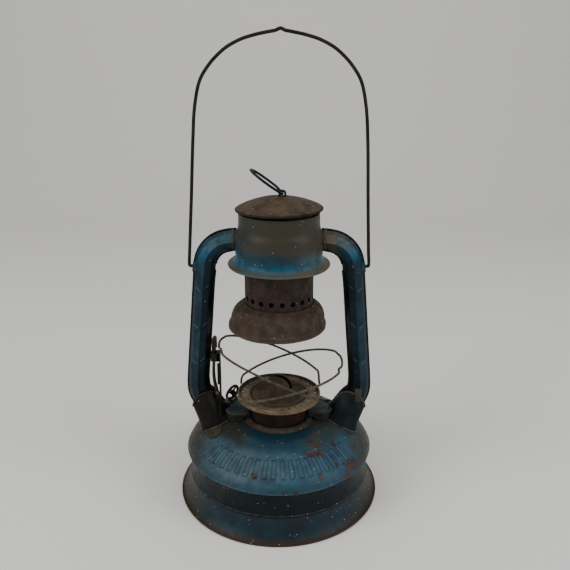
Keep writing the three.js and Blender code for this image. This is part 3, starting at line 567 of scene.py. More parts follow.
CONE = rusted("burner_rust", (0.034, 0.0240, 0.0160), (0.074, 0.054, 0.036), (0.052, 0.0320, 0.0215), 0.010,
              5.1,
              hub=(0.0190, 0.0235, (0.078, 0.058, 0.037)))
CUP = rusted("cup_rust", (0.0170, 0.0095, 0.0075), (0.0330, 0.0185, 0.0140), (0.040, 0.0190, 0.0130), 0.0,
             6.6)
WIRE = rusted("wire_oxide", (0.0075, 0.0065, 0.0052), (0.022, 0.0195, 0.0155), (0.022, 0.0150, 0.0105), 0.0,
              7.3,
              rough=(0.45, 0.75), size=5.0)
GUARD = rusted("guard_wire_oxide", (0.050, 0.045, 0.029), (0.120, 0.108, 0.074), (0.060, 0.045, 0.028), 0.0,
               8.4,
               rough=(0.40, 0.7), size=5.0)
RING = rusted("ring_oxide", (0.0030, 0.0040, 0.0048), (0.0075, 0.0115, 0.0140), (0.0090, 0.0080, 0.0070),
              0.0, 9.2,
              rough=(0.3, 0.55), size=5.0)
STRAP = rusted("strap_oxide", (0.020, 0.0160, 0.0115), (0.058, 0.046, 0.031), (0.045, 0.0270, 0.0165), 0.004,
               4.1,
               rough=(0.45, 0.8), size=5.0)
BRASS = rusted("tarnished_brass", (0.040, 0.029, 0.012), (0.110, 0.080, 0.034), (0.035, 0.022, 0.012), 0.0,
               5.9,
               rough=(0.35, 0.6), size=4.0, metallic=0.7)


COTTON_DARK, COTTON_LIGHT = (0.20, 0.17, 0.11), (0.42, 0.37, 0.27)


def cotton():
    """The flat wick's weave, charred at its top."""
    s = Shade("wick_cotton", specular=0.1)
    waves = []
    for direction in ("X", "Z"):
        wave = s.tree.nodes.new("ShaderNodeTexWave")
        s.tree.links.new(s.coords, wave.inputs["Vector"])
        wave.bands_direction = direction
        wave.inputs["Scale"].default_value = 260
        waves.append(wave.outputs["Fac"])
    weave = s.times(*waves)
    colour = s.mix(weave, COTTON_DARK, COTTON_LIGHT)
    colour = s.mix(s.span(s.z, 0.0900, 0.0950), colour, BLACK)
    return s.finish(colour, 0.95, weave, 0.6, 0.0003)


COTTON = cotton()

# ---------- the tank and its foot ----------
CREASE_R, CREASE_Z, TOP_R, TOP_Z = 79.0, 43.0, 28.0, 67.0
RIB_STEP, RIB_LOW_R, RIB_HIGH_R, RIB_SPREAD, RIB_HEIGHT = 6.0, 60, 72.5, 57, 0.75


def dome_height(radius):
    """Height of the tank's top at a distance from the axis."""
    across = np.clip((np.asarray(radius, float) - TOP_R) / (CREASE_R - TOP_R), 0, 1)
    return CREASE_Z + (TOP_Z - CREASE_Z) * (1 - across**2) ** 0.65


def dome_points(grow, steps):
    """Points [radius, z] from the crease up to the mouth, moved outward by grow."""
    t = np.linspace(0, np.pi / 2, steps + 1)
    r = TOP_R + (CREASE_R - TOP_R + grow) * np.cos(t)
    z = CREASE_Z + (TOP_Z - CREASE_Z + grow) * np.sin(t) ** 1.3
    return np.stack([r, z], 1)


def rib_pattern(radius, angle):
    """How far a band of plain upright ribs stands out, and how dark its outlines are, over the shoulder."""
    phase = (angle / RIB_STEP) % 1.0 - 0.5
    in_front = 1 / (1 + np.exp((np.abs(angle) - RIB_SPREAD) / 0.4))
    band = in_front / (1 + np.exp(-(radius - RIB_LOW_R) / 0.3)) / (1 + np.exp((radius - RIB_HIGH_R) / 0.3))
    ribs = np.exp(-(phase / 0.17) ** 4) * band
    ends = np.exp(-((radius - RIB_LOW_R + 0.2) / 0.5) ** 2) + np.exp(-((radius - RIB_HIGH_R - 0.2) / 0.5) ** 2)
    sides = np.exp(-((np.abs(phase) - 0.26) / 0.055) ** 2) * band
    return ribs, np.clip(sides + ends * (np.abs(phase) < 0.25) * in_front, 0, 1)


def tank_dome():
    wall = smooth_path([[77.0, 22.7], [76.5, 26], [76.2, 31], [76.4, 36], [77.2, 39.8], [78.4, 41.9]], 5)
    bead = [[79.05, 42.45], [79.35, 42.9], [79.25, 43.5], [78.9, 44.0]]
    dome = dome_points(0, 84)
    dome = dome[dome[:, 1] > 44.4]
    mouth = [[24, TOP_Z], [19.8, TOP_Z], [19.8, TOP_Z - 1]]
    inside = dome_points(-1, 20)[::-1]
    under = [[75.6, 38], [75.2, 31], [76.0, 22.7]]
    verts, faces = lathe(np.vstack([wall, bead, dome, mouth, inside, under]), 576)
    shoulder = slice(len(wall) + len(bead), len(wall) + len(bead) + len(dome))
    x, y = verts[:, shoulder, 0], verts[:, shoulder, 1]
    radius = np.hypot(x, y)
    ribs, grooves = np.zeros(verts.shape[:2]), np.zeros(verts.shape[:2])
    ribs[:, shoulder], grooves[:, shoulder] = rib_pattern(radius, np.degrees(np.arctan2(x, -y)))
    out = np.stack([0.5 * x / radius, 0.5 * y / radius, np.full(radius.shape, 0.8)], -1)
    verts[:, shoulder] += RIB_HEIGHT * ribs[:, shoulder, None] * out
    # The foot's seam and the burner's seat stay true, and the sheet between them is uneven.
    near_axis = np.hypot(verts[..., :1], verts[..., 1:2])
    keep = np.clip((verts[..., 2:3] - 24) / 6, 0, 1) * np.clip((near_axis - 26) / 6, 0, 1)
    verts = verts + keep * (worked(verts, 0.3, 26, 2.0) + worked(verts, 0.1, 9, 5.0) - 2 * verts)
    # The rib tops get a slight painted highlight, and the crease bead a light grey line.
    wear_and_shading = 0.18 * ribs
    wear_and_shading[:, len(wall):len(wall) + 3] = [0.6, 0.7, 0.3]
    make("tank_shoulder", (verts, faces), TANK, "frame", ["tank_dome"], wear_and_shading,
         marks=0.8 * grooves)


tank_dome()


def foot():
    """The flared skirt under the tank, with a rolled rim."""
    bead = arc((76.6, 21.4), 0.85, 100, -20, 6)
    skirt = smooth_path([[77.2, 19.4], [77.4, 14.5], [79.2, 9.3], [81.9, 5.0], [84.5, 2.35]], 8)
    rim = arc((84.7, 1.3), 1.25, 75, -190, 14)
    inner = smooth_path([[82.2, 3.3], [79.6, 7.2], [77.4, 12.2], [76.2, 17.5], [75.9, 21.8]], 4)
    verts, faces = lathe(np.vstack([bead, skirt, rim, inner]), 288)
    wear_and_shading = np.zeros(verts.shape[:2])
    wear_and_shading[:, 1:5] = 0.4
    # The rim stays flat on the ground.
    keep = np.clip((verts[..., 2:3] - 2.2) / 4, 0, 1)
    verts = verts + keep * (worked(verts, 0.25, 24, 7.0) - verts)
    make("foot_skirt", (verts, faces), TANK, "frame", ["tank_foot"], wear_and_shading)


foot()
pan_outline = np.vstack([
    smooth_path([[0, 14], [60, 14], [66, 13.8], [69.5, 12.6], [72, 12.1], [74, 12.1]], 4),
    [[75.2, 12.6], [75.3, 21.4], [74.3, 21.4], [74.2, 13.6]],
    smooth_path([[73, 13.2], [70, 13.6], [66.6, 14.9], [60, 15], [0, 15]], 4)])
make("tank_floor", lathe(pan_outline), CUP, "frame", ["tank_pan"])

FILL_R, FILL_Y = 11.0, 56.0
FLUTES, FLUTE_DEPTH = 36, 0.16
FILL_TILT = math.atan2(float(dome_height(FILL_Y - 1) - dome_height(FILL_Y + 1)), 2)
AT_FILLER = Matrix.Translation((0, FILL_Y, float(dome_height(FILL_Y)))) @ Matrix.Rotation(-FILL_TILT, 4, "X")
collar = lathe([[FILL_R, -4.8], [FILL_R, 5.4], [FILL_R - 1.1, 5.4], [FILL_R - 1.1, -4.8]], 96)
make("filler_collar", moved(collar, AT_FILLER), CUP, "frame", ["filler_neck"])


def filler_cap():
    """A flat lid with a fluted side."""
    outline = np.vstack([
        [[0, 6.9], [5.5, 6.9], [6.2, 7.35], [8.6, 7.35], [9.4, 7.2]], arc((11.2, 6.0), 1.2, 80, 0, 4),
        [[12.45, 2.4], [12.6, 1.7], [11.4, 1.7], [11.4, 6.1], [0, 6.1]]])
    verts, faces = lathe(outline, 216)
    angle = np.arctan2(verts[..., 1], verts[..., 0])
    side = (np.hypot(verts[..., 0], verts[..., 1]) > 12.1)[..., None]
    flute = FLUTE_DEPTH * np.cos(angle * FLUTES)[..., None]
    verts[..., :2] += side * (flute - FLUTE_DEPTH) * verts[..., :2] / 12.4
    make("filler_lid", moved((verts, faces), AT_FILLER), CAP, "filler_cap", ["filler_cap"])


filler_cap()

# ---------- the burner ----------
SEAT = 67.3
DOME_R, DOME_Z, DOME_RISE = 11.4, 95.4, 9.3
WICK_ANGLE = math.radians(157)
ALONG = np.array([math.cos(WICK_ANGLE), math.sin(WICK_ANGLE)])
SQUARE = np.array([-math.sin(WICK_ANGLE), math.cos(WICK_ANGLE)])
SHAFT_OFF, SHAFT_Z = 8.3, 84.5

neck_outline = [[31.6, 0], [30.6, 0.3], [29.4, 1.1], [28.2, 2.1], [26.8, 2.5], [25.5, 2.1], [24.8, 1.2],
                [24.6, 0]]
neck_ring = lathe(smooth_path(np.array(neck_outline) + [0, SEAT], 6))
make("burner_collar", neck_ring, NECK, "frame", ["neck_ring"])


def wick_point(a, n, z):
    """A point from its place along the wick's width, square to its face, and its height."""
    return np.array([*(ALONG * a + SQUARE * n), z])


def wick_bar(width, thickness, low, high):
    """A flat upright bar with rounded edges, standing where the wick does."""
    t = np.linspace(0, 2 * np.pi, 48, endpoint=False)
    a = np.sign(np.cos(t)) * np.abs(np.cos(t)) ** 0.35 * width / 2
    n = np.sign(np.sin(t)) * np.abs(np.sin(t)) ** 0.7 * thickness / 2
    return loft([[wick_point(x, y, z) for x, y in zip(a, n)] for z in (low, high)])


def burner_cup():
    """The cup that the cone sits on, slotted for the wick's tube and drilled for its shaft."""
    outer = smooth_path([[23.6, SEAT], [23.8, 70], [24.3, 75], [25.0, 80.5], [25.6, 84.6], [26.4, 85.7],
                         [26.6, 86.8], [26.2, 87.4]], 5)
    inner = smooth_path([[22.6, 87.3], [24.2, 85.6], [23.9, 80], [23.0, 74], [22.6, 69]], 5)
    outline = np.vstack([outer, inner, [[22.3, SEAT + 1], [0, SEAT + 1], [0, SEAT]]])
    slot = wick_bar(19.6, 5.4, 60, 80)
    hole = sweep([wick_point(a, SHAFT_OFF, SHAFT_Z) for a in (4, 45)], 1.6, 16)
    make("burner_basket", lathe(outline), CUP, "frame", ["burner_cup"], cut=joined(slot, hole))


burner_cup()


def burner_cone():
    """A low flange that rises to a narrow dome, split by the flame slot with a thin lip along it."""
    t = np.linspace(0, np.pi / 2, 24)
    flange = smooth_path([[22.6, 87.8], [23.3, 88.1], [22.9, 88.8], [19.5, 89.4], [16.0, 90.3],
                          [13.2, 91.9]], 4)
    dome = np.stack([DOME_R * np.cos(t), DOME_Z + DOME_RISE * np.sin(t)], 1)
    outer = np.vstack([flange, [[11.8, 93.6]], dome])
    inner = np.vstack([np.stack([10.7 * np.cos(t), 95.2 + 8.8 * np.sin(t)], 1)[::-1],
                       [[11.0, 93.2], [12.4, 91.2], [16.0, 89.4], [21.8, 88.0]]])
    verts, faces = lathe(np.vstack([outer, inner]))
    soot = np.zeros(verts.shape[:2])
    soot[:, len(outer):] = 1.0
    make("burner_dome", (worked(verts, 0.15, 9, 3.0), faces), CONE, "frame", ["burner_cone"],
         cut=wick_bar(46, 4.6, 94.6, 110), marks=soot)
    a = np.linspace(-10.9, 10.9, 40)
    lips = []
    for side in (-1, 1):
        height = DOME_Z + DOME_RISE * np.sqrt(np.clip(1 - (a**2 + 2.5**2) / DOME_R**2, 0, 1))
        path = np.array([wick_point(x, 2.5 * side, z) for x, z in zip(a, height)])
        lips.append(sweep(path, 0.38, 8))
    make("flame_slot_lip", joined(*lips), DISH, "frame")


burner_cone()
for node, material in (("wick_tube", BRASS), ("wick", COTTON), ("wick_shaft", BRASS)):
    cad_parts[node].data.materials.clear()
    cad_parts[node].data.materials.append(material)


def knob():
    """A wire wheel bent over on the end of the wick's shaft."""
    face = Vector((-0.72, 0.66, 0.23)).normalized()
    turn = Vector((0, 0, 1)).rotation_difference(face).to_matrix().to_4x4()
    centre = wick_point(40.8, SHAFT_OFF, SHAFT_Z)
    at = Matrix.Translation(Vector(centre)) @ turn
    t = np.linspace(0, 2 * np.pi, 72, endpoint=False)
    rim = sweep(np.stack([6.4 * np.cos(t), 6.4 * np.sin(t), 0.25 * np.cos(2 * t)], 1), 1.15, 10, closed=True)
    spokes = []
    for k in range(3):
        u = direction(k / 3 * 2 * math.pi)
        spokes.append(sweep([u * 0.4, u * 2.6 + [0, 0, 0.5], u * 6.3], 0.8, 8))
    wheel = moved(joined(rim, *spokes), at)
    hub = sweep([wick_point(a, SHAFT_OFF, SHAFT_Z) for a in (38.6, 39.1, 42.0, 42.3)], [1.6, 2.1, 2.1, 1.5],
                20)
    make("wick_wheel", joined(wheel, hub), WIRE, "wick_adjuster", ["wick_knob"])


knob()

# ---------- the side tubes ----------
BEND_AT, BEND_RADII, DEPTH = np.array([38.0, 203.0]), (12.2, 31.3), 8.6
CHEVRON_HEIGHTS = (184.5, 151.5, 120.5, 84.0)
SEAM = 0.02  # half the gap between the two halves, as a share of their depth

# Each station is [x, z] of the inner edge and then of the outer one, from the hood down to the shoe.
stations = [[34, 216.2, 34, 234.9]]
for degrees in range(84, -1, -14):
    u = direction(math.radians(degrees))[:2]
    stations.append([*(BEND_AT + BEND_RADII[0] * u), *(BEND_AT + BEND_RADII[1] * u)])
for t in (0.1, 0.55, 1.0):
    stations.append([50.9 + 7.8 * t, 202 - 92 * t, 69.4 + 8.0 * t, 202 - 92 * t])
stations += [[59, 103, 78.1, 100.5], [58.4, 96.5, 78, 93], [55.9, 90, 76.6, 86.5], [51.8, 84, 74, 80.5],
             [48.6, 79, 71.4, 75]]
EDGES = smooth_path(stations, 12)


def length_along(edges):
    """Distance along the tube's middle at each station."""
    steps = np.diff((edges[:, :2] + edges[:, 2:]) / 2, axis=0)
    return np.concatenate([[0], np.cumsum(np.linalg.norm(steps, axis=1))])


# The stations are spaced out again evenly, 0.7 mm apart.
coarse = length_along(EDGES)
even = np.linspace(0, coarse[-1], int(coarse[-1] / 0.7))
EDGES = np.stack([np.interp(even, coarse, EDGES[:, k]) for k in range(4)], 1)
MIDDLE = (EDGES[:, :2] + EDGES[:, 2:]) / 2
LENGTH = length_along(EDGES)
# The section of one half: [place across the tube, depth], each from -1 to 1 and 0 to 1.
half = np.array([[-0.86, 0.13], [-0.84, 0.19], [-0.80, 0.27], [-0.74, 0.39], [-0.67, 0.53], [-0.63, 0.60],
                 [-0.59, 0.655], [-0.53, 0.70], [-0.46, 0.74], [-0.38, 0.785], [-0.30, 0.83], [-0.22, 0.875],
                 [-0.14, 0.92], [-0.08, 0.955], [-0.04, 0.985], [0, 1.0]])
OUTSIDE = mirrored(np.vstack([[[-1, 0.05], [-1, 0.1], [-0.9, 0.115]], half]), [-1, 1])
INSIDE = np.array([[0.8, 0.05], [0.5, 0.58], [0, 0.88], [-0.5, 0.58], [-0.8, 0.05]])


def tube_half(side, front):
    """One pressed half of a side tube, with its crimped edges and its row of chevrons."""
    section = np.vstack([OUTSIDE, INSIDE])
    centre, arm = MIDDLE, (EDGES[:, 2:] - EDGES[:, :2]) / 2
    s, d = section[None, :, 0], np.maximum(section[None, :, 1], SEAM)
    # The inner crimp is cut back in a short notch below the hood.
    notch = (centre[:, 1] > 199.5) & (centre[:, 1] < 206.5) & (centre[:, 0] > 50)
    s = np.where(notch[:, None] & (s < -0.88), -0.9, s)
    outside = np.arange(section.shape[0])[None, :] < len(OUTSIDE)
    raised = np.zeros((len(centre), section.shape[0]))
    on_facet = (np.abs(s) > 0.14) & (np.abs(s) < 0.56) & outside
    for height in CHEVRON_HEIGHTS:
        at = LENGTH[np.argmin(np.abs(centre[:, 1] - height) + 100 * (centre[:, 0] < 45))]
        off = LENGTH[:, None] - (at - 7.0 * np.abs(s)) - np.where(s > 0, 1.6, -0.4)
        raised = np.maximum(raised, np.exp(-(off / 0.8) ** 2) * on_facet)
    x = centre[:, :1] + arm[:, :1] * s
    z = centre[:, 1:] + arm[:, 1:] * s
    y = -(d * DEPTH + 0.7 * raised)
    verts = np.stack([x, y, z], -1)
    if not front:
        verts[..., 1] *= -1
    if side < 0:
        verts[..., 0] *= -1
    keep = (outside * np.clip((0.86 - np.abs(s)) * 8, 0, 1))[..., None]
    verts = verts + keep * (worked(verts, 0.22, 13, 4.0 + side) - verts)
    # Painted shade: the inner and steep facets darken towards black, and the crimped edges turn black, a dark
    # edge with painted shade on it. The chevrons stay lighter and get a pale painted highlight.
    crimp_and_facet_shade = np.where(np.abs(s) > 0.84, 1.0, np.where(s < -0.56, 0.9, np.where(s < -0.02, 0.55, 0.0)))
    crimp_and_facet_shade = np.where((s > 0.62) & (s <= 0.84), 0.45, crimp_and_facet_shade)
    crimp_and_facet_shade = np.maximum(0, np.broadcast_to(crimp_and_facet_shade * outside, verts.shape[:2]) - 0.6 * raised)
    name = "tube_" + ("left" if side < 0 else "right") + ("_front" if front else "_rear")
    make(name + "_shell", loft(verts), TUBE, "frame", [name], crimp_and_facet_shade, sharp=30,
         marks=0.55 * raised)


for side in (-1, 1):
    for front in (True, False):
        tube_half(side, front)


def band_round_tube(low, high, grow, name, side, replaces):
    """A strap that follows the tube's section between two places along it."""
    picked = [i for i in range(len(LENGTH)) if low <= LENGTH[i] <= high]
    section = np.vstack([OUTSIDE[2:-2], (OUTSIDE[2:-2] * [1, -1])[::-1]])
    rings = []
    for ring in (grow, 0.12):
        layer = []
        for i in picked:
            arm = (EDGES[i, 2:] - EDGES[i, :2]) / 2
            stretch = 1 + ring / np.linalg.norm(arm)
            xz = MIDDLE[i] + section[:, :1] * arm * stretch
            y = -section[:, 1:] * (DEPTH + ring)
            layer.append(np.hstack([xz[:, :1] * side, y, xz[:, 1:]]))
        rings.append(np.array(layer))
    verts = np.vstack([rings[0], rings[1][::-1]])
    make(name, (verts, grid_faces(len(verts), verts.shape[1], True, True)), HOOD, "frame",
         replaces)


COLLAR_X = 35.6
start = LENGTH[np.argmin(np.abs(MIDDLE[:, 0] - COLLAR_X) + 100 * (MIDDLE[:, 1] < 200))]
for side, word in SIDES:
    band_round_tube(start, start + 2.6, 0.9, "tube_lip_" + word, side, ["tube_collar_" + word])


PIVOT_Z = 203.0


def bail_ear(side, word):
    """A small pressed saddle over the tube's outer edge, with the hole that takes the bail's end."""
    rings = []
    for height in np.linspace(-4.5, 4.5, 15):
        i = int(np.argmin(np.abs(MIDDLE[:, 1] - (PIVOT_Z + height)) + 100 * (MIDDLE[:, 0] < 50)))
        outer = EDGES[i, 2]
        swell = math.sqrt(max(0.0, 1 - (height / 4.9) ** 2))
        reach = 3.6 * swell + 1.2
        points = [[outer - 2.9 * swell, -reach - 0.6], [outer - 1.2, -reach * 0.7],
                  [outer + 0.2 * swell + 0.3, -1.9], [outer + 0.25 * swell + 0.35, 0]]
        rim = mirrored(smooth_path(points, 5), [1, -1])
        ring = np.vstack([rim, (rim - [0.7, 0])[::-1]])
        rings.append(np.stack([side * ring[:, 0], ring[:, 1], np.full(len(ring), PIVOT_Z + height)], 1))
    hole = sweep([[side * 66, 0, PIVOT_Z], [side * 76, 0, PIVOT_Z]], 1.65, 24)
    make("bail_eye_" + word, loft(rings), TUBE, "frame", ["bail_ear_" + word], cut=hole)


for side, word in SIDES:
    bail_ear(side, word)

# ---------- the shoes and the air ducts ----------
# Height, inner edge, outer edge and half depth of a shoe, and the arch [x, z] that ends it on the tube.
SHOE_LEVELS = np.array([[50, 36, 66, 14], [66, 37.0, 69, 13.4], [73, 41.2, 71.4, 12.6], [80, 45.8, 74, 11.6],
                        [87, 50.6, 76.6, 10.8], [91, 53.2, 77.8, 10.6], [95, 55.6, 78.8, 10.4]])
SHOE_ROWS = 26
arch_points = np.vstack([
    [[34, 73.5]], smooth_path([[41, 74.6], [44.2, 76.4], [47, 80], [49.6, 84.6], [52.4, 88.6], [55.8, 91.4],
                               [60.5, 93.1], [65.5, 92.2], [69.6, 89.2], [71.9, 84.5]], 5),
                               [[73.6, 79], [82, 76]]])


def shoe(side, word):
    """A pressed shoe: its sides run from the tank up to an arched edge on the tube."""
    front = smooth_path([[-1, 0.05], [-0.82, 0.32], [-0.4, 0.74], [-0.25, 0.86], [0.2, 0.99], [0.62, 0.97],
                         [0.86, 0.86], [0.97, 0.5], [1, 0.05]], 5)
    section = np.vstack([front, (front * [1, -1])[::-1]])
    levels = np.linspace(50, 95, 181)
    inner, outer, depth = (np.interp(levels, SHOE_LEVELS[:, 0], SHOE_LEVELS[:, k]) for k in (1, 2, 3))
    columns = []
    for s, d in section:
        x = (inner + outer) / 2 + s * (outer - inner) / 2
        y = -d * depth
        above = levels > dome_height(np.hypot(x, y)) + 0.25
        below = levels < np.interp(x, arch_points[:, 0], arch_points[:, 1])
        good = np.flatnonzero(above & below)
        z = np.linspace(levels[good[0]], levels[good[-1]], SHOE_ROWS)
        columns.append(np.stack([side * np.interp(z, levels, x), np.interp(z, levels, y), z], 1))
    verts = worked(np.array(columns), 0.18, 12, 6.0 + side)
    skin = verts, grid_faces(len(columns), SHOE_ROWS, True, False)
    wear_and_shading = np.zeros(verts.shape[:2])
    wear_and_shading[:, :1] = 0.9
    make("shoe_" + word + "_skin", skin, SHOE, "frame", ["tube_shoe_" + word], wear_and_shading, 50,
         solid=0.9)
    bared = 0.12 if side < 0 else 0.6  # how much of the lip's paint is gone
    low_edge, high_edge = verts[:, 0] + [0, 0, 0.2], verts[:, -1]
    for tag, edge, radius, worn_and_shaded in (("lip", high_edge, 0.75 + 0.3 * bared, bared),
                                    ("flange", low_edge, 0.6, 0.9)):
        bead = sweep(edge, radius, 10, closed=True)
        make("shoe_" + word + "_" + tag, bead, SHOE, "frame",
             wear_and_shading=np.full((len(edge), 10), worn_and_shaded))


for side, word in SIDES:
    shoe(side, word)


def duct(side, word, half, top):
    """The low air duct from the burner to a shoe: a top plate with rolled edges over two set-back walls."""
    rings = []
    for x in np.linspace(26.6, 45.4, 22):
        wall = half - 1.9 - max(0.0, x - 39.5) * 0.85
        foot_z = float(dome_height(math.hypot(x, wall))) + 0.25
        outer = np.array([[-wall, foot_z], [-wall, top - 1.9], [-wall - 1.4, top - 1.3],
                          [-wall - 1.2, top - 0.3],
                          [-wall * 0.6, top + 0.1], [0, top + 0.2]])
        inner = np.array([[-wall + 0.9, foot_z], [-wall + 0.9, top - 1.6], [-wall * 0.6, top - 0.8],
                          [0, top - 0.7]])
        ring = np.vstack([mirrored(outer, [-1, 1]), mirrored(inner, [-1, 1])[::-1]])
        rings.append(np.stack([np.full(len(ring), side * x), ring[:, 0], ring[:, 1]], 1))
    verts, faces = loft(rings)
    burner = lathe([[0, 60], [31.9, 60], [31.9, 70.9], [26.4, 71.2], [26.4, 82], [0, 82]], 96)
    # Painted shade: the set-back walls under the top plate turn dark olive.
    wear_and_shading = 0.85 * (np.abs(verts[..., 1]) < half) * (verts[..., 2] < top - 1.5)
    make("duct_" + word, (verts, faces), DUCT, "frame", ["air_duct_" + word], wear_and_shading, 45,
         cut=burner)
    beads = []
    for flip in (-1, 1):
        bead = smooth_path([[27.6, -half + 0.4, top - 0.8], [34, -half, top - 0.8],
                            [39.5, -half + 0.2, top - 0.7],
                            [42.6, -half + 2.2, top], [44.6, -half + 4.2, top + 1.6]], 6) * [side, flip, 1]
        beads.append(sweep(bead, 0.95, 12))
    make("duct_edge_" + word, joined(*beads), NECK, "frame")


duct(-1, "left", 12.6, 75.2)
duct(1, "right", 11.2, 76.0)

# ---------- the bail ----------
half_bail = [[69.2, 203], [71.2, 203], [72.15, 203.4], [72.5, 204.5], [72.35, 209], [72, 214], [69.5, 257],
             [66.9, 304], [64.5, 330], [60.1, 348.3], [53.4, 359], [47.6, 365.4], [40, 371.8], [29.3, 377.4],
             [18.3, 380.8], [8.1, 382.9], [3.4, 383.8]]


def leaning(x, z):
    """A point of the bail, which leans a little to the right above its ears."""
    return [x + 0.9 * min(max((z - 214) / 90, 0), 1), 0, z]


right_arm = [leaning(x, z) for x, z in half_bail]
left_arm = [leaning(-x, z) for x, z in half_bail]
bail_path = smooth_path(left_arm + [leaning(0, 385.2)] + right_arm[::-1], 9)
bail_path[:, 1] += 0.5 * np.sin(bail_path[:, 2] / 31) * np.clip((bail_path[:, 2] - 230) / 60, 0, 1)
make("bail_wire", sweep(bail_path, 1.35, 16), WIRE, "bail", ["bail"])

# ---------- the hood ----------
hood_out = np.vstack([
    arc((40.7, 205.7), 0.75, -150, 60, 7),
    smooth_path([[40.3, 206.7], [38.6, 207.3], [36.8, 208.4], [35.6, 210.0], [35.05, 212.0], [35.0, 213.8]],
                5),
    smooth_path([[35.15, 214.6], [35.35, 217.5], [35.45, 221.2]], 4),
    smooth_path([[35.7, 221.9], [35.55, 222.7], [35.4, 226], [35.0, 230.2], [34.3, 232.6], [33.3, 234.6],
                 [32.7, 237], [32.5, 241.5], [32.6, 248.2]], 5)])
hood_in = smooth_path([[31.6, 248.2], [31.5, 237.4], [32.3, 234.2], [33.9, 230.4], [34.4, 222], [34.2, 214.5],
                       [34.1, 211.6], [35.2, 208.6], [38.2, 206.4], [39.7, 205.8]], 4)
hood_verts, hood_faces = lathe(np.vstack([hood_out, hood_in]), 256)
hood_verts = worked(hood_verts, 0.22, 17, 9.0)
hood_wear = np.zeros(hood_verts.shape[:2])
hood_wear[:, :8] = 0.3
ports = sweep([[-50, 0, 225.6], [50, 0, 225.6]], 6.4, 32)
make("hood_shell", (hood_verts, hood_faces), HOOD, "frame", ["hood"], hood_wear, cut=ports)
seat_ring = lathe([[28.6, 242.9], [31.2, 242.9], [31.2, 245.9], [30.3, 245.9], [30.3, 243.9], [28.6, 243.9]])
make("spring_seat", seat_ring, FLUE, "frame", ["hood_spring_seat"])

# ---------- the chimney ----------
FLUE_R, FLUE_LOW, FLUE_TOP = 28.0, 156, 253.5
HOLES, HOLE_R, HOLE_Z, NOTCH_Z = 20, 2.15, 179.2, 250.2
COIL_R, COIL_LOW, COIL_RISE, COIL_TURNS = 30, 216.1, 25.8, 3.5

holes = []
for k in range(HOLES):
    u = direction((k + 1 / 3) / HOLES * 2 * math.pi)
    holes.append(sweep([u * 24 + [0, 0, HOLE_Z], u * 32 + [0, 0, HOLE_Z]], HOLE_R, 20))
for k in range(4):
    u, v = direction(k * math.pi / 2), direction((k + 1) * math.pi / 2)
    notch = [u * FLUE_R + v * end + [0, 0, NOTCH_Z] for end in (-8, 8)]
    holes.append(sweep(notch, 1.7, 12, flat=1.6))
levels = np.linspace(FLUE_LOW, FLUE_TOP, 60)
flue_outer = np.stack([np.full(60, FLUE_R), levels], 1)
flue_outline = np.vstack([flue_outer, (flue_outer - [1, 0])[::-1]])
flue_verts, flue_faces = lathe(flue_outline, 256)
flue = worked(flue_verts, 0.12, 14, 1.5), flue_faces
make("flue", flue, FLUE, "chimney", ["chimney_tube"], cut=joined(*holes))

bell_out = np.vstack([
    arc((39.7, 152.4), 0.7, -120, 60, 6),
    smooth_path([[40.2, 153.6], [40.3, 154.9], [39.7, 155.9], [38.9, 156.6], [38.7, 158.5], [38.5, 161.2],
                 [37.7, 164.2], [36.3, 167.0], [34.0, 169.4], [31.4, 171.1], [29.6, 172.0], [29.3, 173.2]],
                 5)])
bell_in = smooth_path([[28.35, 173.2], [28.4, 171.4], [31.0, 169.8], [33.4, 168.2], [35.4, 166.0],
                       [36.8, 163.4], [37.5, 160.8], [37.8, 156.4], [39.2, 155], [39.2, 153.2]], 5)
bell_verts, bell_faces = lathe(np.vstack([bell_out, bell_in]), 256)
bell_verts = worked(bell_verts, 0.3, 16, 3.3)
# The bell hangs a little crooked.
bell_verts[..., 0] += 0.07 * (bell_verts[..., 2] - 173.4)
bell_wear = np.zeros(bell_verts.shape[:2])
bell_wear[:, :8] = 0.6
make("bell", (bell_verts, bell_faces), BELL, "chimney", ["chimney_bell"], bell_wear)
collar = lathe([[28.3, 213.4], [30.9, 213.4], [30.9, 215.0], [28.3, 215.0]])
make("spring_ring", collar, FLUE, "chimney", ["spring_collar"])
t = np.linspace(0, 1, 220)
angle = t * COIL_TURNS * 2 * np.pi
coil = np.stack([COIL_R * np.cos(angle), COIL_R * np.sin(angle), COIL_LOW + COIL_RISE * t], 1)
make("return_spring", sweep(coil, 0.7, 8), WIRE, "chimney", ["chimney_spring"])

CAP_APEX, CAP_EDGE, CAP_RIM = 260.4, 251.4, 35.1
CAP_BALL = (CAP_RIM**2 + (CAP_APEX - CAP_EDGE) ** 2) / (2 * (CAP_APEX - CAP_EDGE))


def cap_height(r):
    """Height of the crown, part of a ball, at a distance from the axis."""
    return CAP_APEX - CAP_BALL + np.sqrt(CAP_BALL**2 - np.asarray(r, float) ** 2)


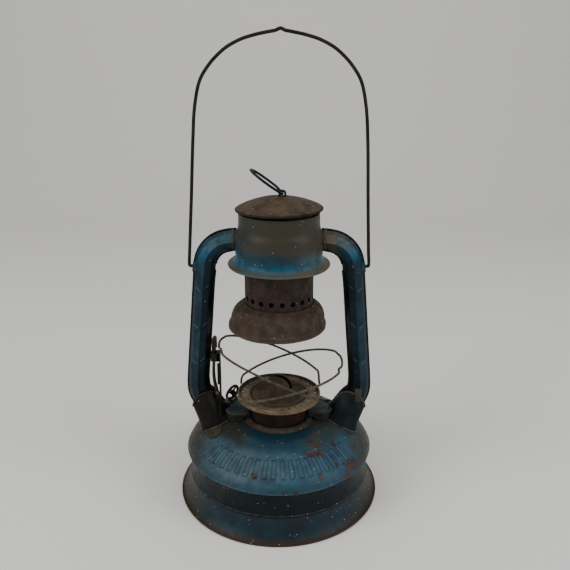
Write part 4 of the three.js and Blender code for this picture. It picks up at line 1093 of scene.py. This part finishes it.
def chimney_cap():
    """A shallow crown with a rolled rim and a few dents."""
    r = np.linspace(0, 33.9, 110)
    top = np.stack([r, cap_height(r)], 1)
    rim = arc((34.25, 250.7), 0.85, 55, -150, 9)
    under = np.stack([r[::-6], cap_height(r[::-6]) - 0.9], 1)
    verts, faces = lathe(np.vstack([top, rim, under]), 288)
    # Small crescent dents pressed into the crown, each with a dark crescent of painted shade.
    dent_and_rim_shade = np.zeros(verts.shape[:2])
    for x, y, turn in ((-13.7, -16.5, -0.1), (23.5, -12.5, 0.5), (-4, 24, 0.7)):
        across, c, d = verts - [x, y, 0], math.cos(turn), math.sin(turn)
        u = across[..., 0] * c + across[..., 1] * d
        v = -across[..., 0] * d + across[..., 1] * c + 0.03 * u * u
        pit = np.exp(-(u / 3.7) ** 4 - (v / 0.9) ** 2)
        verts[..., 2] += 0.35 * np.exp(-(u / 3.9) ** 2 - ((v + 2.0) / 0.9) ** 2) - 1.4 * pit
        dent_and_rim_shade = np.maximum(dent_and_rim_shade, pit * np.exp(-((v - 0.3) / 0.8) ** 2))
    verts = worked(verts, 0.2, 15, 2.7)
    # Painted shade: the rolled rim and the underside are darkened.
    dent_and_rim_shade[:, len(top):] = 0.75
    # The cap sits a little askew on the flue.
    askew = Matrix.Rotation(math.radians(1.2), 4, "X") @ Matrix.Rotation(math.radians(1.0), 4, "Y")
    lifted = Matrix.Translation((0, 0, CAP_EDGE))
    verts, faces = moved((verts, faces), lifted @ askew.inverted() @ lifted.inverted())
    make("cap", (verts, faces), CAP, "chimney", ["chimney_cap"], marks=dent_and_rim_shade)


chimney_cap()
RING_AT, RING_R, RING_LEAN, RING_TWIST = np.array([2.6, 0, 262.7]), 15.4, -54, 3.9
t = np.linspace(0, np.pi, 16)
loop = np.stack([2.25 * np.cos(t), 0 * t, 2.25 * np.sin(t)], 1)
staple = np.vstack([[[2.25, 0, -2.8], [2.25, 0, -1.1]], loop, [[-2.25, 0, -1.1], [-2.25, 0, -2.8]]]) + RING_AT
make("ring_loop", sweep(staple, 0.92, 12, flat=1.6), RING, "chimney", ["ring_staple"])
t = np.linspace(0, 2 * np.pi, 120, endpoint=False)
# The ring is bent a little where it leaves the staple, so that it clears the crown when it lies down.
bend = 0.45 * np.clip(2.5 * (1 - np.cos(t)), 0, 1)
circle = np.stack([bend, RING_R * np.sin(t) * 0.98, RING_R - RING_R * np.cos(t)], 1)
lean = Matrix.Translation(RING_AT) @ Matrix.Rotation(math.radians(RING_LEAN), 4, "Y")
twist = Matrix.Rotation(math.radians(RING_TWIST), 4, "Z")
pull_ring = moved(sweep(circle, 1.05, 14, closed=True), lean @ twist)
make("pull_ring", pull_ring, RING, "lift_ring", ["lift_ring"])


# ---------- the globe plate and its guard wires ----------
def globe_plate():
    """A shallow dish with an upstanding rolled rim, a ring of small air holes and two short slots."""
    deck = smooth_path([[24.0, 87.6], [24.1, 88.3], [26, 88.5], [29, 88.3], [32, 88.0], [33.3, 88.2],
                        [33.9, 89.0]], 5)
    outline = np.vstack([
        deck, arc((34.65, 89.8), 0.75, 175, -10, 8),
        [[35.45, 88.8], [35.4, 87.1], [34.6, 87.1], [34.5, 88.6]],
        smooth_path([[33.6, 87.4], [31, 87.3], [28, 87.6], [25.5, 87.7]], 4)])
    verts, faces = lathe(outline, 256)
    # The rim is pressed down at the rear.
    rear = np.clip(verts[..., 1] / 35, 0, 1) ** 2 * np.clip((verts[..., 2] - 88.4) / 1.2, 0, 1)
    verts[..., 2] -= 0.7 * rear
    cutters = []
    # Each row of holes leaves out the angles called skip.
    for radius, count, first, skip in ((31.2, 34, 4, (-112, -68)), (27.8, 30, 0, (-130, -86))):
        for k in range(count):
            degrees = first + 360 / count * k
            off = (degrees + 180) % 360 - 180
            if skip[0] < off < skip[1]:
                continue
            u = radius * direction(math.radians(degrees))
            cutters.append(sweep([u + [0, 0, 86], u + [0, 0, 94]], 0.95, 12))
    for degrees in (-99, -81):
        a = np.radians(np.linspace(degrees - 4.6, degrees + 4.6, 7))
        edge = np.array([30.7 * direction(q) for q in a] + [31.7 * direction(q) for q in a[::-1]])
        cutters.append(loft([edge + [0, 0, z] for z in (86, 94)]))
    wear_and_shading = np.zeros(verts.shape[:2])
    wear_and_shading[:, len(deck):len(deck) + 9] = 0.35
    shade = np.zeros(verts.shape[:2])
    shade[:, len(deck) - 8:len(deck) + 2] = 0.7
    make("globe_dish", (worked(verts, 0.12, 12, 5.5), faces), DISH, "globe_carrier",
         ["globe_plate"], wear_and_shading, cut=joined(*cutters), marks=shade)


globe_plate()


def guard_wire(side, high, low, half_width, post, end, rear, front):
    """A loop that stands beside the dish's rim at its low end and leans up and out over the other side.

    rear is [height, slope] and front [height, slope, sag] of its two halves; the rear one ends in a post."""
    centre, reach = (high + low) / 2, (high - low) / 2

    def at(degrees, z=None):
        """A point of the loop, with small kinks where it is gripped at the far end."""
        a = math.radians(degrees)
        x, y = centre + reach * math.cos(a), half_width * math.sin(a)
        share = min(max(0.5 + 1.2 * math.sin(a), 0), 1)
        if z is None:
            z = share * (rear[0] + rear[1] * x) + (1 - share) * (front[0] + front[1] * x - front[2] * x * x)
        kink = math.exp(-((degrees + 16) / 3.2) ** 2) + 0.8 * math.exp(-((degrees - 20) / 3.2) ** 2)
        x, z = x - 1.7 * kink, z + 0.5 * kink
        r = math.hypot(x, y)
        beside = 36.9 / r if z < 94.6 and r < 36.9 else 1
        return [side * x * beside, y * beside, max(z, 88.6)]

    points = [at(degrees) for degrees in np.linspace(-end, post - 4, 61)]
    points += [at(post - 0.5, 93.5), at(post + 0.5, 91), at(post + 1, 88.5)]
    return sweep(smooth_path(points, 4), 0.98, 12)


right_loop = guard_wire(1, 53.4, -38.6, 36.6, 152, 152, (105.3, 0.305), (103.2, 0.32, 0.0018))
left_loop = guard_wire(-1, 50.3, -38.4, 32.6, 158, 161, (116.1, 0.41), (112.4, 0.535, 0.003))
make("guard_loop_right", right_loop, GUARD, "globe_carrier", ["guard_wire_right"])
make("guard_loop_left", left_loop, GUARD, "globe_carrier", ["guard_wire_left"])

# ---------- the globe lift ----------
LIFT_Y = -3.6
STRIP_SKEW, TAB_SKEW = 0.28, 0.34  # how far the strip and its thumb tab are turned out of square


def strip(points, width, thickness):
    """A flat strip bent along points of [x, z], with its width along Y."""
    path = smooth_path(points, 10)
    tangent = np.gradient(path, axis=0)
    tangent /= np.linalg.norm(tangent, axis=1)[:, None]
    normal = np.stack([-tangent[:, 1], tangent[:, 0]], 1)
    corners = [(-1, -0.7), (-0.92, -1), (0.92, -1), (1, -0.7), (1, 0.7), (0.92, 1), (-0.92, 1), (-1, 0.7)]
    rings = []
    for (x, z), (nx, nz) in zip(path, normal * thickness / 2):
        rings.append([[x + nx * b + STRIP_SKEW * a * width / 2, LIFT_Y + a * width / 2, z + nz * b]
                      for a, b in corners])
    return loft(rings)


t = np.linspace(0, np.pi, 14)
tab_outline = np.vstack([[[4, 131]], np.stack([4 * np.cos(t), 139 + 4 * np.sin(t)], 1), [[-4, 131]]])
tab = loft([[[-53.9 + 0.5 * k + TAB_SKEW * u, LIFT_Y + u, z] for u, z in tab_outline] for k in (-1, 1)])
blade = strip([[-53.9, 133], [-54.1, 126], [-55.1, 112], [-54.5, 101], [-52.4, 91], [-51.5, 86.8]], 5, 0.9)
make("lift_blade", joined(blade, tab), STRAP, "globe_carrier", ["lift_strip"])
rivet = lathe([[0, 1.3], [0.8, 1.2], [1.3, 0.8], [1.55, 0], [0, 0]], 24)
facing = Matrix.Translation((-52.5, LIFT_Y - 2.5, 91.4)) @ Matrix.Rotation(math.radians(90), 4, "X")
make("lift_rivet", moved(rivet, facing), GUARD, "globe_carrier")
link = smooth_path([[-51.9, 89.8], [-49.6, 85.4], [-45, 82.4], [-40, 83], [-36.9, 86.4], [-36.4, 89.6]], 10)
link = np.stack([link[:, 0], np.full(len(link), -7.3), link[:, 1]], 1)
make("lift_wire", sweep(link, 0.9, 12), WIRE, "globe_carrier", ["lift_link"])
guide = joined(
    rounded_box((-57, -7.0, 121), (-56.3, 0.9, 128.4), 0.25),
    rounded_box((-52.3, -7.0, 121), (-49.2, 0.9, 128.4), 0.4),
    rounded_box((-57, -7.0, 121), (-49.2, -6.5, 128.4), 0.2),
    rounded_box((-57, -0.7, 121), (-49.2, 0.9, 128.4), 0.3),
    rounded_box((-50.4, -0.8, 84), (-49.2, 0.9, 122), 0.3),
    rounded_box((-52.6, 0.1, 96), (-49.2, 0.9, 116), 0.3))
make("lift_guide", guide, SHOE, "frame", ["lift_bracket"])


# ---------- small pieces on the shoes ----------
def laid_on_tank(outline, centre, thickness):
    """A thin plate that follows the tank's top, from its outline [x, y] seen from above."""
    shares, rings = (1.0, 0.66, 0.33, 0.02), []
    for lift, order in ((0.15, shares[::-1]), (0.15 + thickness, shares)):
        for share in order:
            points = centre + (np.asarray(outline) - centre) * share
            z = dome_height(np.hypot(points[:, 0], points[:, 1])) + lift
            rings.append(np.column_stack([points, z]))
    return loft(rings)


bar = smooth_path([[-49.9, -3.2, 121.5], [-49.9, -4.6, 104], [-49.7, -7.4, 88], [-49.4, -11.9, 76],
                   [-49.2, -12.6, 66.4]], 10)
make("lift_stay", sweep(bar, 0.62, 10, flat=0.8), SHOE, "frame")
t = np.radians(np.linspace(-20, 200, 20))
rounded = np.stack([-54.0 + 5.6 * np.cos(t), -19.6 - 7.4 * np.sin(t)], 1)
tab = np.vstack([rounded, [[-59.9, -12.6], [-48.4, -11.4]]])
patch = laid_on_tank(tab, np.array([-54.0, -18.6]), 0.7)
bore = sweep([[-55.0, -21.2, 50], [-55.0, -21.2, 75]], 1.1, 16)
make("shoe_left_tab", patch, NECK, "frame", cut=bore)
clip = joined(rounded_box((64.1, -11.6, 86), (69.2, -10.2, 98.4), 0.5),
              rounded_box((63.7, -12.0, 93.5), (69.6, -10.0, 97), 0.5))
make("shoe_right_clip", clip, NECK, "frame")
clip = rounded_box((-45.6, -9.8, 84.2), (-42.8, -7.4, 88.2), 0.7)
make("lift_clip", clip, GUARD, "frame")

# ---------- floor, light and camera ----------
FLOOR_COLOUR = (0.84, 0.82, 0.78)
floor_material = Shade("floor_paint", specular=0.3)
floor_material.finish(FLOOR_COLOUR, 0.8, floor_material.noise(3, 3, 0.5), 0.03, 0.0002)
# The floor runs back and curves up into a wall.
curve = [[0.9 + 0.6 * math.sin(a), 0.6 - 0.6 * math.cos(a)] for a in np.linspace(0.1, math.pi / 2, 16)]
sweep_back = [[-2.2, 0.0], [0.9, 0.0], *curve, [1.5, 3.0]]
backdrop = bpy.data.meshes.new("floor")
rows = [[(x, y, z) for y, z in sweep_back] for x in (-3.0, 3.0)]
backdrop.from_pydata([p for row in rows for p in row], [],
                     grid_faces(2, len(sweep_back), False, False).tolist())
backdrop.shade_smooth()
backdrop.materials.append(floor_material.material)
floor = bpy.data.objects.new("floor", backdrop)
bpy.context.scene.collection.objects.link(floor)


def area_light(name, place, aim, size, power):
    """A rectangular lamp at a place, turned towards aim."""
    data = bpy.data.lights.new(name, "AREA")
    data.shape = "RECTANGLE"
    data.size, data.size_y = size
    data.energy = power
    lamp = bpy.data.objects.new(name, data)
    lamp.location = place
    lamp.rotation_euler = (Vector(aim) - Vector(place)).to_track_quat("-Z", "Y").to_euler()
    bpy.context.scene.collection.objects.link(lamp)


area_light("left_window", (-1.3, -0.7, 1.0), (0, 0, 0.15), (0.9, 1.1), 14)
area_light("right_window", (1.3, -0.6, 0.9), (0, 0, 0.15), (0.9, 1.1), 11)
area_light("overhead", (0, -0.2, 1.7), (0, 0, 0.1), (1.4, 1.2), 12)
world = bpy.data.worlds.new("studio")
world.use_nodes = True
world.node_tree.nodes["Background"].inputs["Color"].default_value = (0.9, 0.95, 1.0, 1)
world.node_tree.nodes["Background"].inputs["Strength"].default_value = 0.22
bpy.context.scene.world = world

CAMERA_AT, CAMERA_PITCH, CAMERA_ROLL = (0.0048, -0.525, 0.371), 17.49, 0.21
lens = bpy.data.cameras.new("camera")
lens.lens = 43.0
lens.sensor_width = 36
lens.shift_y = -0.0386
lens.clip_start = 0.01
camera = bpy.data.objects.new("camera", lens)
tilt = Matrix.Rotation(math.radians(90 - CAMERA_PITCH), 4, "X")
camera.matrix_world = Matrix.Translation(CAMERA_AT) @ tilt @ Matrix.Rotation(math.radians(CAMERA_ROLL), 4,
                                                                             "Z")
bpy.context.scene.collection.objects.link(camera)
bpy.context.scene.camera = camera
